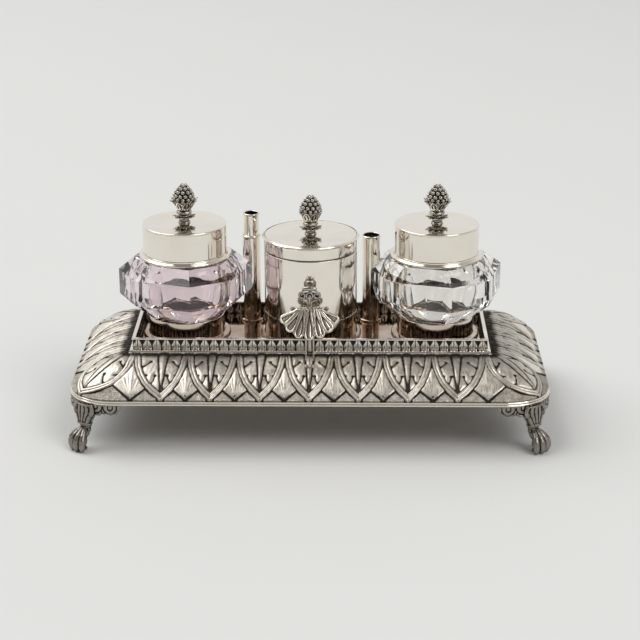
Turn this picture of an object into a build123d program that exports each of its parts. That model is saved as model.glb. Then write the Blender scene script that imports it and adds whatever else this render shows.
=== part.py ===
from build123d import *
import os
from math import cos, hypot, radians, sin, sqrt

# Silver desk inkstand: a footed tray with a leaf border, two glass ink bottles with caps,
# a round box with a lid, two pen tubes and a shell thumbpiece.
# Millimetres, +Z up, +X to the right, -Y to the front. The origin is on the table, at the
# middle of the tray.

os.makedirs("parts", exist_ok=True)

# ---------------------------------------------------------------- driving dimensions
# tray
tray_length = 273.0
tray_width = 135.0
tray_corner_radius = 26.0
deck_height = 47.0
rim_height = 2.6
rim_band = 4.2
rim_reeds = 2
rim_drop = 19.4
border_sheet = 1.2
border_inset = 1.3
border_top_drop = 1.9
border_curve = 1.9
border_inner_radius = 0.8
border_ledge = 5.0
border_sections = 6
front_leaves = 7
front_leaf_pitch = 27.6
front_outer_half = 16.9
end_leaves = 3
end_leaf_pitch = 18.8
leaf_band_width = 2.4
leaf_band_height = 0.9
leaf_band_path = ((0.93, 0.07), (0.85, 0.32), (0.70, 0.56), (0.38, 0.78), (0.0, 0.925))
reed_step_in = 0.33
reed_bulge = 0.58
reed_steps = 6

# deck and gallery
gallery_length = 202.4
gallery_width = 63.2
gallery_height = 6.6
gallery_sheet = 1.1
wire_height = 0.8
wire_band = 2.0
wire_overhang = 0.5
moulding_band = 2.4
moulding_rise = 0.6
moulding_upright = 0.9
moulding_top_band = 0.9
moulding_steps = 4

# sockets
socket_wall = 0.9
socket_flange_height = 1.4
bottle_socket_radius = 22.15
bottle_socket_height = 12.5
bottle_socket_flange = 25.6
box_socket_radius = 26.9
box_socket_height = 15.0
box_socket_flange = 29.3

# where the fittings stand on the deck
bottle_x = 72.6
pen_tube_x = 35.3
pen_tube_y = 21.3

# pen tubes
pen_tube_radius = 5.3
pen_tube_wall = 0.45
pen_tube_height = 53.0
pen_tube_roll = 0.3
pen_ring_radius = 6.8
pen_ring_height = 1.4
sleeve_radius = 4.55
sleeve_wall = 0.4
sleeve_height = 66.4
sleeve_roll = 0.4

# ink bottles
bottle_corner_radius = 38.6
bottle_wide_half_angle = 26.0
bottle_turn_left = 8.3
bottle_turn_right = 11.0
bottle_taper_bottom = 13.2
bottle_band_bottom = 25.6
bottle_band_top = 40.5
bottle_shoulder_top = 47.6
bottle_base_scale = 0.608
bottle_shoulder_scale = 0.767
bottle_neck_radius = 22.4
bottle_neck_top = 63.6
bottle_mouth_radius = 17.5
bottle_chamber_radius = 26.5
bottle_foot_bore = 16.5
bottle_floor = 6.0
bottle_floor_bevel = 3.0
bottle_foot_flare = 1.5
bottle_chamber_bevel = 2.5
bottle_chamber_bevel_height = 4.0

# silver neck mounts
mount_wall = 0.65
mount_flange_radius = 26.7
mount_flange_height = 2.8
mount_rim_height = 1.6
mount_rim_edge = 0.5
mount_cove = 0.4
mount_shoulder_radius = 24.7
mount_lip = 0.6
mount_lip_bore = 18.0

# bottle caps
cap_radius = 24.25
cap_wall = 0.8
cap_height = 16.5
cap_edge = 0.8

# round box
box_radius = 26.8
box_wall = 1.0
box_floor = 1.2
box_mouth = 52.4
bezel_wall = 0.65
bezel_rise = 5.1
bezel_depth = 6.4
lid_wall = 0.8
lid_height = 7.8
lid_wire_overhang = 1.0
lid_wire_height = 1.6

# finials, measured up from the plate that each stands on
finial_height = 23.2
finial_stem_radius = 3.6
finial_waist_radius = 3.1
finial_bead_radius = 4.5
finial_bead_height = 6.4
finial_bead_thickness = 1.6
calyx_bottom = 8.2
calyx_bottom_radius = 4.3
calyx_bulge = 1.2
calyx_lip = 0.9
calyx_top = 14.4
calyx_radius = 8.0
berry_radius = 6.3
berry_steps = 9
leaf_collar_radius = 6.8
leaf_collar_edge = 0.5
leaf_collar_bottom = 2.4
leaf_collar_top = 4.4
stud_radius = 1.4
nut_width = 5.0
nut_height = 2.0
nut_below = 0.6

# handle with its shell thumbpiece
strap_width = 5.4
strap_thickness = 1.4
strap_curl_radius = 1.7
strap_curl_out = 15.0
strap_rest = 0.15
strap_bend_height = 9.0
bar_radius = 1.3
bar_length = 22.0
bar_height = 27.7
bar_out = 3.0
scroll_radius = 2.0
scroll_width = 2.4
shell_lobes = 7
shell_radius = 13.6
shell_lobe_radius = 2.9
shell_root_radius = 1.2
shell_spread = 22.0
shell_thickness = 1.6
shell_lean = 26.0
shell_bite = 0.26
rosette_stem_width = 3.3
rosette_stem_height = 3.4
rosette_radius = 3.3
rosette_middle_radius = 2.7
rosette_spacing = 4.1
rosette_thickness = 2.0
crest_radius = 1.6
crest_length = 8.4
crest_rise = 4.0

# feet
foot_diagonal = 24.8
foot_heading = 52.6
foot_knee_diagonal = 21.6
foot_knee_radius = 5.8
foot_knee_drop = 3.4
foot_calf_radius = 3.5
foot_ankle_radius = 3.3
foot_ankle_height = 14.0
foot_ankle_drop = 3.4
foot_cuff_radius = 4.0
foot_cuff_thickness = 0.8
foot_flat = 0.4
paw_heading = 41.0
wrist_radius = 3.1
palm_radius = 4.7
palm_reach = 3.0
toe_count = 4
toe_spread = 25.0
toe_root_radius = 1.9
toe_root_reach = 0.9
toe_root_height = 11.4
toe_knuckle_radius = 2.1
toe_knuckle_reach = 6.3
toe_shaft_radius = 2.0
toe_knuckle_height = 7.3
toe_tip_radius = 1.9
toe_tip_reach = 8.9
limb_steps = 4
wing_length = 20.5
wing_height = 7.2
wing_step_height = 5.2
wing_end_height = 3.0
wing_sheet = 1.8
wing_inset = 1.6

# clearances
slip = 0.35
snug = 0.05
stud_clearance = 0.1

# ---------------------------------------------------------------- levels worked out
rim_bottom = deck_height - rim_drop
rim_top = rim_bottom + rim_height
ledge_top = deck_height - border_top_drop
moulding_face = gallery_width / 2 + moulding_band
wire_bottom = deck_height + gallery_height
corner_x = tray_length / 2 - tray_corner_radius
corner_y = tray_width / 2 - tray_corner_radius


# ---------------------------------------------------------------- helpers
def save(shape, name):
    shape.label = name
    export_step(shape, f"parts/{name}.step")


def rounded_outline(inset, z, length=tray_length, width=tray_width, radius=tray_corner_radius):
    """A rounded rectangle at one height, drawn in from the given size by an inset."""
    corner = max(radius - inset, border_inner_radius)
    outline = RectangleRounded(length - 2 * inset, width - 2 * inset, corner)
    return Plane.XY.offset(z) * outline


def square_outline(length, width, z):
    return Plane.XY.offset(z) * Rectangle(length, width)


def block(length, width, z0, z1):
    """A plain rectangular block, centred on the origin, between two heights."""
    return Pos(0, 0, (z0 + z1) / 2) * Box(length, width, z1 - z0)


def turned(points, x=0.0, y=0.0, z=0.0):
    """A solid of revolution about a vertical axis, from (radius, height) points."""
    face = make_face(Polyline(*[(r, 0, h) for r, h in points], close=True))
    return Pos(x, y, z) * revolve(face, Axis.Z)


def arc_points(centre_r, centre_h, radius, start, end, steps):
    """Points of a circular arc in the (radius, height) plane, angles in degrees."""
    angles = [radians(start + (end - start) * i / steps) for i in range(steps + 1)]
    return [(centre_r + radius * cos(a), centre_h + radius * sin(a)) for a in angles]


def upright(radius, z0, z1, x=0.0, y=0.0):
    return Pos(x, y, (z0 + z1) / 2) * Cylinder(radius, z1 - z0)


# ---------------------------------------------------------------- tray border
border_outer_half = tray_length / 2 - border_inset
border_inner_half = gallery_length / 2 + moulding_band
border_run_x = border_outer_half - border_inner_half
border_run_y = tray_width / 2 - border_inset - moulding_face
border_fall = ledge_top - rim_top


def border_section(share, sheet):
    """One level of the border: its plan outline, set in from the surface by a sheet."""
    fall = border_fall * share**border_curve
    slope = border_fall * border_curve * share ** (border_curve - 1) / border_run_y
    normal = hypot(1, slope)
    inward = sheet * slope / normal
    down = sheet / normal
    half_x = border_inner_half + border_run_x * share - inward
    half_y = moulding_face + border_run_y * share - inward
    outer_radius = tray_corner_radius - border_inset
    radius = border_inner_radius + (outer_radius - border_inner_radius) * share - inward
    outline = RectangleRounded(2 * half_x, 2 * half_y, max(radius, border_inner_radius / 2))
    return Plane.XY.offset(ledge_top - fall - down) * outline


def border_mound(sheet):
    shares = [i / (border_sections - 1) for i in range(border_sections)]
    return loft([border_section(share, sheet) for share in shares])


def corner_place(turn, share):
    """Plan point of the front right corner leaf, from -1 at the front to 1 at the end."""
    half_x = border_inner_half + border_run_x * share
    half_y = moulding_face + border_run_y * share
    outer_radius = tray_corner_radius - border_inset
    radius = border_inner_radius + (outer_radius - border_inner_radius) * share
    front_end = (front_leaves - 1) * front_leaf_pitch / 2 + front_outer_half
    before = half_x - radius - front_end
    after = half_y - radius - end_leaves * end_leaf_pitch / 2
    bend = radius * radians(90)
    run = (turn + 1) / 2 * (before + bend + after)
    if run < before:
        return front_end + run, -half_y
    if run > before + bend:
        return half_x, -half_y + radius + run - before - bend
    angle = (run - before) / radius
    return half_x - radius + radius * sin(angle), -half_y + radius - radius * cos(angle)


def band_face(path, side_x, side_y):
    """The plan of one band along a path, in the quarter of the tray that the signs give."""
    left = []
    right = []
    for index, (x, y) in enumerate(path):
        ahead = path[min(index + 1, len(path) - 1)]
        behind = path[max(index - 1, 0)]
        along = hypot(ahead[0] - behind[0], ahead[1] - behind[1])
        across_x = (behind[1] - ahead[1]) / along * leaf_band_width / 2
        across_y = (ahead[0] - behind[0]) / along * leaf_band_width / 2
        left.append((side_x * (x + across_x), side_y * (y + across_y)))
        right.append((side_x * (x - across_x), side_y * (y - across_y)))
    return make_face(Polyline(*left, *reversed(right), close=True))


def make_bands():
    """The raised bands that frame the leaves of the border, a pair to each leaf."""
    paths = []
    for side in (-1, 1):
        for leaf in range(front_leaves):
            place = leaf - (front_leaves - 1) / 2
            outer = place * side == (front_leaves - 1) / 2
            half = front_outer_half if outer else front_leaf_pitch / 2
            middle = place * front_leaf_pitch
            paths.append(
                [
                    (middle + side * u * half, moulding_face + border_run_y * v)
                    for u, v in leaf_band_path
                ]
            )
        for leaf in range(end_leaves):
            middle = (leaf - (end_leaves - 1) / 2) * end_leaf_pitch
            half = end_leaf_pitch / 2
            paths.append(
                [
                    (border_inner_half + border_run_x * v, middle + side * u * half)
                    for u, v in leaf_band_path
                ]
            )
        corner = [corner_place(side * u, v) for u, v in leaf_band_path]
        paths += [corner, [(-x, y) for x, y in corner]]
    faces = [band_face(path, sign, sign) for path in paths for sign in (-1, 1)]
    bands = extrude(Sketch() + faces, amount=deck_height - rim_top)
    return Pos(0, 0, rim_top) * bands & border_mound(-leaf_band_height)


def make_border():
    mound = border_mound(0.0)
    hollow = border_mound(border_sheet)
    opening = block(
        gallery_length - 2 * border_ledge,
        gallery_width - 2 * border_ledge,
        rim_bottom,
        deck_height,
    )
    return mound + make_bands() - hollow - opening


save(make_border(), "leaf_border")


# ---------------------------------------------------------------- reeded rim
def make_rim():
    reed_height = rim_height / rim_reeds
    rim = None
    for reed in range(rim_reeds):
        z0 = rim_bottom + reed * reed_height
        step_in = reed_step_in * reed
        levels = [(1 - cos(radians(180 * step / reed_steps))) / 2 for step in range(reed_steps + 1)]
        sections = []
        for level in levels:
            bulge = sqrt(max(0.0, 1 - (2 * level - 1) ** 2))
            inset = step_in + reed_bulge * (1 - bulge)
            sections.append(rounded_outline(inset, z0 + level * reed_height))
        ring = loft(sections, ruled=True)
        rim = ring if rim is None else rim + ring
    hole = extrude(rounded_outline(rim_band, rim_bottom), amount=rim_height)
    return rim - hole


save(make_rim(), "reeded_rim")


# ---------------------------------------------------------------- deck and gallery
save(block(gallery_length, gallery_width, ledge_top, deck_height), "deck_plate")


def make_strip(length, half_depth):
    """One gallery strip along X, with mitred ends, its outer face towards -Y."""
    inner = length / 2 - gallery_sheet
    plan = Polyline(
        (-length / 2, -half_depth),
        (length / 2, -half_depth),
        (inner, -half_depth + gallery_sheet),
        (-inner, -half_depth + gallery_sheet),
        close=True,
    )
    return extrude(Plane.XY.offset(deck_height) * make_face(plan), amount=gallery_height)


front_strip = make_strip(gallery_length, gallery_width / 2)
end_strip = make_strip(gallery_width, gallery_length / 2)
save(front_strip, "gallery_front")
save(Rot(0, 0, 180) * front_strip, "gallery_back")
save(Rot(0, 0, -90) * end_strip, "gallery_left")
save(Rot(0, 0, 90) * end_strip, "gallery_right")


def make_wire():
    """The flat wire that caps the gallery, with eased outer edges."""
    length = gallery_length + 2 * wire_overhang
    width = gallery_width + 2 * wire_overhang
    ease = wire_height / 4
    insets = [(0.0, ease), (ease, 0.0), (wire_height - ease, 0.0), (wire_height, ease)]
    sections = [
        square_outline(length - 2 * inset, width - 2 * inset, wire_bottom + rise)
        for rise, inset in insets
    ]
    solid = loft(sections, ruled=True)
    opening = block(
        length - 2 * wire_band,
        width - 2 * wire_band,
        wire_bottom - wire_height,
        wire_bottom + 2 * wire_height,
    )
    return solid - opening


save(make_wire(), "gallery_top_wire")


def make_moulding():
    """The plain quarter-round moulding at the foot of the gallery."""
    z0 = ledge_top
    z1 = deck_height + moulding_rise
    curve = moulding_band - moulding_top_band
    profile = [(moulding_band, z0)]
    for step in range(moulding_steps + 1):
        turn = radians(90 * step / moulding_steps)
        rise = (z1 - z0 - moulding_upright) * sin(turn)
        profile.append((moulding_top_band + curve * cos(turn), z0 + moulding_upright + rise))
    sections = [
        square_outline(gallery_length + 2 * band, gallery_width + 2 * band, height)
        for band, height in profile
    ]
    solid = loft(sections, ruled=True)
    return solid - block(gallery_length, gallery_width, 2 * z0 - z1, 2 * z1 - z0)


save(make_moulding(), "gallery_foot_moulding")


# ---------------------------------------------------------------- sockets
def make_socket(radius, height, flange, x):
    bore = radius - socket_wall
    edge = socket_flange_height / 2
    points = [(bore, 0), (flange, 0)]
    points += arc_points(flange - edge, edge, edge, 0, 90, 4)
    points += [(radius, socket_flange_height), (radius, height), (bore, height)]
    return turned(points, x, 0, deck_height)


bottle_socket = (bottle_socket_radius, bottle_socket_height, bottle_socket_flange)
save(make_socket(*bottle_socket, -bottle_x), "socket_left")
save(make_socket(*bottle_socket, bottle_x), "socket_right")
save(make_socket(box_socket_radius, box_socket_height, box_socket_flange, 0), "socket_centre")


# ---------------------------------------------------------------- pen tubes
def make_tube(radius, wall, height, roll, floor, x, y):
    """A straight tube with a rolled mouth, closed at the foot where it has a floor."""
    bore = radius - wall
    rim_radius = wall / 2 + roll
    rim_centre = radius + roll - rim_radius
    points = [(0, 0)] if floor else [(bore, 0)]
    points += [(radius, 0), (radius, height - 2 * rim_radius)]
    points += arc_points(rim_centre, height - rim_radius, rim_radius, -40, 140, 10)
    points += [(bore, height - 2 * rim_radius)]
    if floor:
        points += [(bore, floor), (0, floor)]
    return turned(points, x, y, deck_height)


def make_pen_ring(x):
    bore = pen_tube_radius + snug
    edge = pen_ring_height / 2
    points = [(bore, 0), (pen_ring_radius, 0)]
    points += arc_points(pen_ring_radius - edge, edge, edge, 0, 90, 4)
    points += [(bore, pen_ring_height)]
    return turned(points, x, pen_tube_y, deck_height)


for side, name in ((-1, "left"), (1, "right")):
    tube = make_tube(
        pen_tube_radius,
        pen_tube_wall,
        pen_tube_height,
        pen_tube_roll,
        0,
        side * pen_tube_x,
        pen_tube_y,
    )
    save(tube, f"pen_tube_{name}")
    save(make_pen_ring(side * pen_tube_x), f"pen_tube_ring_{name}")

save(
    make_tube(
        sleeve_radius,
        sleeve_wall,
        sleeve_height,
        sleeve_roll,
        sleeve_wall,
        -pen_tube_x,
        pen_tube_y,
    ),
    "pen_sleeve",
)


# ---------------------------------------------------------------- ink bottles
def octagon(scale, z, turn):
    """An octagon of alternate wide and narrow sides."""
    radius = bottle_corner_radius * scale
    narrow = 90 - 2 * bottle_wide_half_angle
    angles = []
    for quarter in range(4):
        angles += [turn + 90 * quarter, turn + 90 * quarter + narrow]
    corners = [(radius * cos(radians(a)), radius * sin(radians(a))) for a in angles]
    return Plane.XY.offset(z) * make_face(Polyline(*corners, close=True))


def make_bottle(x, turn):
    z0 = deck_height
    foot = octagon(bottle_base_scale, bottle_taper_bottom, turn)
    band_low = octagon(1.0, bottle_band_bottom, turn)
    band_high = octagon(1.0, bottle_band_top, turn)
    shoulder = octagon(bottle_shoulder_scale, bottle_shoulder_top, turn)
    body = loft([foot, band_low], ruled=True)
    body += loft([band_low, band_high], ruled=True)
    body += loft([band_high, shoulder], ruled=True)
    foot_radius = bottle_socket_radius - socket_wall - slip
    body += upright(foot_radius, 0, bottle_taper_bottom)
    body += upright(bottle_neck_radius, bottle_shoulder_top, bottle_neck_top)
    wide = bottle_chamber_radius
    bevel = bottle_chamber_bevel
    bevel_height = bottle_chamber_bevel_height
    chamber = [
        (0, bottle_floor),
        (bottle_foot_bore - bottle_floor_bevel, bottle_floor),
        (bottle_foot_bore, bottle_floor + bottle_floor_bevel),
        (bottle_foot_bore + bottle_foot_flare, bottle_taper_bottom),
        (wide - bevel, bottle_band_bottom - bevel_height),
        (wide, bottle_band_bottom),
        (wide, bottle_band_top - bevel_height),
        (wide - bevel, bottle_band_top),
        (bottle_mouth_radius, bottle_shoulder_top),
        (bottle_mouth_radius, 2 * bottle_neck_top - bottle_shoulder_top),
        (0, 2 * bottle_neck_top - bottle_shoulder_top),
    ]
    return Pos(x, 0, z0) * (body - turned(chamber))


def make_neck_mount(x):
    bore = bottle_neck_radius + snug
    sleeve = bore + mount_wall
    low = bottle_shoulder_top
    flange_top = low + mount_flange_height
    lip_bottom = bottle_neck_top
    points = [
        (bore, low),
        (mount_flange_radius - mount_rim_edge, low),
        (mount_flange_radius, low + mount_rim_edge),
        (mount_flange_radius, low + mount_rim_height - mount_rim_edge),
        (mount_flange_radius - mount_rim_edge, low + mount_rim_height),
        (mount_shoulder_radius + mount_cove, low + mount_rim_height + mount_cove),
        (mount_shoulder_radius, flange_top),
        (sleeve, flange_top),
        (sleeve, lip_bottom),
        (sleeve - mount_lip / 2, lip_bottom + mount_lip),
        (mount_lip_bore, lip_bottom + mount_lip),
        (mount_lip_bore, lip_bottom),
        (bore, lip_bottom),
    ]
    return turned(points, x, 0, deck_height)


save(make_bottle(-bottle_x, bottle_turn_left), "ink_bottle_left")
save(make_bottle(bottle_x, bottle_turn_right), "ink_bottle_right")
save(make_neck_mount(-bottle_x), "neck_mount_left")
save(make_neck_mount(bottle_x), "neck_mount_right")


# ---------------------------------------------------------------- caps
cap_bottom = deck_height + bottle_shoulder_top + mount_flange_height
cap_top = cap_bottom + cap_height


def make_cap(x):
    bore = cap_radius - cap_wall
    hole = stud_radius + stud_clearance
    points = [(bore, 0), (cap_radius, 0)]
    points += arc_points(cap_radius - cap_edge, cap_height - cap_edge, cap_edge, 0, 90, 5)
    points += [(hole, cap_height), (hole, cap_height - cap_wall), (bore, cap_height - cap_wall)]
    return turned(points, x, 0, cap_bottom)


save(make_cap(-bottle_x), "cap_left")
save(make_cap(bottle_x), "cap_right")


# ---------------------------------------------------------------- round box and lid
box_mouth_z = deck_height + box_mouth
box_bore = box_radius - box_wall
spigot_radius = box_socket_radius - socket_wall - slip
shoulder_height = box_socket_height + slip


def make_box():
    spigot_bore = spigot_radius - box_wall
    points = [
        (0, 0),
        (spigot_radius, 0),
        (spigot_radius, shoulder_height),
        (box_radius, shoulder_height),
        (box_radius, box_mouth),
        (box_bore, box_mouth),
        (box_bore, shoulder_height + 2 * box_wall),
        (spigot_bore, shoulder_height + box_wall),
        (spigot_bore, box_floor),
        (0, box_floor),
    ]
    return turned(points, 0, 0, deck_height)


def make_bezel():
    outer = box_bore - snug
    inner = outer - bezel_wall
    low = box_mouth - bezel_depth
    high = box_mouth + bezel_rise
    points = [
        (inner, low),
        (outer, low),
        (outer, high - bezel_wall),
        (outer - bezel_wall / 2, high),
        (inner, high),
    ]
    return turned(points, 0, 0, deck_height)


def make_lid():
    bore = box_radius - lid_wall
    hole = stud_radius + stud_clearance
    points = [
        (bore, 0),
        (box_radius, 0),
        (box_radius, lid_height),
        (hole, lid_height),
        (hole, lid_height - lid_wall),
        (bore, lid_height - lid_wall),
    ]
    return turned(points, 0, 0, box_mouth_z)


def make_lid_wire():
    """The half-round wire that stands proud round the top of the lid."""
    half = lid_wire_height / 2
    middle = lid_height - half
    inner = box_radius + snug
    arc = arc_points(0, 0, 1, -90, 90, 8)
    points = [(inner + lid_wire_overhang * c, middle + half * s) for c, s in arc]
    return turned(points, 0, 0, box_mouth_z)


save(make_box(), "box_body")
save(make_bezel(), "box_bezel")
save(make_lid(), "box_lid")
save(make_lid_wire(), "box_lid_wire")


# ---------------------------------------------------------------- finials
def make_finial(x, plate_top, plate_wall):
    """The cast berry in its calyx, on a waisted stem, with a stud through the plate."""
    stud_end = -plate_wall - nut_height - nut_below
    bead_low = finial_bead_height - finial_bead_thickness / 2
    bead_high = finial_bead_height + finial_bead_thickness / 2
    waist = (leaf_collar_top + bead_low) / 2
    points = [
        (0, stud_end),
        (stud_radius, stud_end),
        (stud_radius, leaf_collar_top),
        (finial_stem_radius, leaf_collar_top),
        (finial_waist_radius, waist),
        (finial_bead_radius, (bead_low + finial_bead_height) / 2),
        (finial_bead_radius, (bead_high + finial_bead_height) / 2),
        (finial_waist_radius, bead_high),
        (calyx_bottom_radius, calyx_bottom),
        (calyx_bottom_radius + calyx_bulge, (calyx_bottom + calyx_top) / 2),
        (calyx_radius - calyx_lip, calyx_top - calyx_lip),
        (calyx_radius, calyx_top),
        (berry_radius, calyx_top),
    ]
    dome = finial_height - calyx_top
    arc = arc_points(0, 0, 1, 0, 90, berry_steps)
    points += [(berry_radius * c, calyx_top + dome * s) for c, s in arc[1:-1]]
    points += [(0, finial_height)]
    return turned(points, x, 0, plate_top)


def make_leaf_collar(x, plate_top):
    """The leaf collar with its short round foot, that the finial clamps to the plate."""
    bore = stud_radius + stud_clearance
    points = [
        (bore, 0),
        (finial_stem_radius, 0),
        (finial_waist_radius, leaf_collar_bottom),
        (leaf_collar_radius, leaf_collar_bottom),
        (leaf_collar_radius, leaf_collar_bottom + leaf_collar_edge),
        ((leaf_collar_radius + finial_stem_radius) / 2, leaf_collar_top - leaf_collar_edge),
        (finial_stem_radius, leaf_collar_top),
        (bore, leaf_collar_top),
    ]
    return turned(points, x, 0, plate_top)


def make_nut(x, plate_bottom):
    hexagon = RegularPolygon(nut_width / 2, 6, major_radius=False)
    nut = extrude(hexagon, amount=-nut_height) - Cylinder(stud_radius + snug, 3 * nut_height)
    return Pos(x, 0, plate_bottom) * nut


lid_top = box_mouth_z + lid_height
finials = (
    ("cap_finial_left", "leaf_collar_left", "finial_nut_left", -bottle_x, cap_top, cap_wall),
    ("cap_finial_right", "leaf_collar_right", "finial_nut_right", bottle_x, cap_top, cap_wall),
    ("box_finial", "leaf_collar_box", "finial_nut_box", 0, lid_top, lid_wall),
)
for finial_name, collar_name, nut_name, x, plate_top, wall in finials:
    save(make_finial(x, plate_top, wall), finial_name)
    save(make_leaf_collar(x, plate_top), collar_name)
    save(make_nut(x, plate_top - wall), nut_name)


# ---------------------------------------------------------------- handle
strap_middle = moulding_face + strap_thickness / 2
bar_y = -(moulding_face + bar_out)
bar_z = deck_height + bar_height


def border_height(y):
    """The height of the border's surface at a distance y from the middle line."""
    share = (abs(y) - moulding_face) / border_run_y
    return ledge_top - border_fall * max(0.0, share) ** border_curve


def make_handle():
    """The strap from its curl on the border up to the scroll-ended bar."""
    curl_y = -(moulding_face + strap_curl_out - strap_curl_radius)
    curl_z = border_height(curl_y) + strap_curl_radius + strap_rest
    mid_y = (curl_y - strap_middle) / 2
    lift = strap_thickness / 2 + strap_rest
    with BuildSketch(Plane.YZ) as profile:
        with BuildLine() as line:
            Polyline(
                (curl_y, border_height(curl_y) + lift),
                (mid_y, border_height(mid_y) + lift),
                (-strap_middle, ledge_top + lift),
                (-strap_middle, deck_height + strap_bend_height),
                (bar_y, bar_z),
            )
        trace(line.line, strap_thickness)
        with Locations((curl_y, curl_z)):
            Circle(strap_curl_radius)
    strap = extrude(profile.sketch, amount=strap_width / 2, both=True)
    bar = Pos(0, bar_y, bar_z) * Rot(0, 90, 0) * Cylinder(bar_radius, bar_length)
    handle = strap + bar
    for side in (-1, 1):
        place = Pos(side * (bar_length - scroll_width) / 2, bar_y, bar_z)
        handle += place * Rot(0, 90, 0) * Cylinder(scroll_radius, scroll_width)
    return handle


def make_shell():
    """The fan of lobes that leans out from the bar."""
    fan = None
    for lobe in range(shell_lobes):
        angle = radians(shell_spread * (lobe - (shell_lobes - 1) / 2) - 90)
        tip = (shell_radius * cos(angle), shell_radius * sin(angle))
        with BuildSketch() as shape:
            Circle(shell_root_radius)
            with Locations(tip):
                Circle(shell_lobe_radius)
            make_hull()
        fan = shape.sketch if fan is None else fan + shape.sketch
    plate = extrude(fan, amount=shell_thickness)
    leaning = Rot(90 - shell_lean, 0, 0) * (Pos(0, -bar_radius, 0) * plate)
    return Pos(0, bar_y - shell_bite, bar_z) * leaning


def make_rosette():
    """Three roundels under a crest, on a short stem that stands on the bar."""
    low = bar_z + bar_radius
    middle = low + rosette_stem_height + rosette_radius
    stem = Pos(0, bar_y, (low + middle) / 2) * Box(
        rosette_stem_width, rosette_thickness, middle - low
    )
    rosette = stem
    for place in (-1, 0, 1):
        radius = rosette_middle_radius if place == 0 else rosette_radius
        disc = Rot(90, 0, 0) * Cylinder(radius, rosette_thickness)
        rosette += Pos(place * rosette_spacing, bar_y, middle) * disc
    crest = extrude(SlotOverall(crest_length, 2 * crest_radius), amount=rosette_thickness / 2, both=True)
    return rosette + Pos(0, bar_y, middle + crest_rise) * Rot(90, 0, 0) * crest


handle = make_handle()
save(handle, "handle_strap")
save(make_shell() - handle, "shell_thumbpiece")
save(make_rosette(), "handle_rosette")


# ---------------------------------------------------------------- feet
def make_limb(start, end, start_radius, end_radius):
    """A round-ended tapering limb between two points."""
    axis = Vector(*end) - Vector(*start)
    points = arc_points(0, 0, start_radius, -90, 0, limb_steps)
    points += arc_points(0, axis.length, end_radius, 0, 90, limb_steps)
    face = make_face(Polyline(*[(max(r, 0), 0, h) for r, h in points], close=True))
    return Plane(origin=start, z_dir=axis).location * revolve(face, Axis.Z)


def make_toe(heading, ankle_x, ankle_y):
    """One toe: down from the ankle to the knuckle, then to the claw on the ground."""
    across, along = cos(radians(heading)), sin(radians(heading))
    bends = (
        (toe_root_reach, toe_root_height),
        (toe_knuckle_reach, toe_knuckle_height),
        (toe_tip_reach, toe_tip_radius - foot_flat),
    )
    root, knuckle, tip = [(ankle_x + r * across, ankle_y + r * along, z) for r, z in bends]
    upper = make_limb(root, knuckle, toe_root_radius, toe_knuckle_radius)
    return upper + make_limb(knuckle, tip, toe_shaft_radius, toe_tip_radius)


def corner_point(diagonal):
    """Plan point under the front left corner, at a distance from the corner's centre."""
    heading = radians(foot_heading)
    return -corner_x - diagonal * cos(heading), -corner_y - diagonal * sin(heading)


def make_leg():
    """The leg: a cuff at the ankle, and the calf that leans in to the knee under the rim."""
    x, y = corner_point(foot_diagonal)
    knee_x, knee_y = corner_point(foot_knee_diagonal)
    cuff = turned(
        [
            (0, foot_ankle_height - foot_ankle_drop),
            (foot_ankle_radius, foot_ankle_height - foot_ankle_drop),
            (foot_ankle_radius, foot_ankle_height - foot_cuff_thickness),
            (foot_cuff_radius, foot_ankle_height - foot_cuff_thickness / 2),
            (foot_cuff_radius, foot_ankle_height + foot_cuff_thickness / 2),
            (foot_ankle_radius, foot_ankle_height + foot_cuff_thickness),
            (0, foot_ankle_height + foot_cuff_thickness),
        ],
        x,
        y,
    )
    ankle = (x, y, foot_ankle_height)
    knee = (knee_x, knee_y, rim_bottom - foot_knee_drop)
    return cuff + make_limb(ankle, knee, foot_calf_radius, foot_knee_radius)


def make_wing(ankle_x):
    """The scrolled wing along the front of the rim, from the knee towards the middle."""
    bottom = rim_bottom - wing_height
    outer = rounded_outline(wing_inset, bottom)
    sheet = extrude(outer - rounded_outline(wing_inset + wing_sheet, bottom), amount=wing_height)
    end_x = ankle_x + wing_length
    side = Polyline(
        (ankle_x, rim_bottom),
        (ankle_x, rim_bottom - wing_height),
        (ankle_x + wing_length * 0.45, rim_bottom - wing_height),
        (ankle_x + wing_length * 0.6, rim_bottom - wing_step_height),
        (ankle_x + wing_length * 0.85, rim_bottom - wing_step_height),
        (end_x, rim_bottom - wing_end_height),
        (end_x, rim_bottom),
        close=True,
    )
    front_quarter = Plane.XZ.offset(corner_y) * make_face(side)
    return sheet & extrude(front_quarter, amount=tray_corner_radius)


def make_foot():
    """The front left foot: a paw on a waisted leg, with a wing along each side of the rim."""
    ankle_x, ankle_y = corner_point(foot_diagonal)
    outward = 180 + paw_heading
    palm_x = ankle_x + palm_reach * cos(radians(outward))
    palm_y = ankle_y + palm_reach * sin(radians(outward))
    foot = make_leg()
    wrist = (ankle_x, ankle_y, foot_ankle_height - foot_ankle_drop)
    heel = (palm_x, palm_y, palm_radius - foot_flat)
    foot += make_limb(wrist, heel, wrist_radius, palm_radius)
    for toe in range(toe_count):
        heading = outward + toe_spread * (toe - (toe_count - 1) / 2)
        foot += make_toe(heading, ankle_x, ankle_y)
    wing = make_wing(ankle_x)
    diagonal = Plane(origin=(-corner_x, -corner_y, 0), z_dir=(1, -1, 0))
    foot += wing
    foot += mirror(wing, diagonal)
    below = block(2 * tray_length, 2 * tray_width, -deck_height, 0)
    above = block(2 * tray_length, 2 * tray_width, rim_bottom, deck_height)
    return foot - below - above


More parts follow.
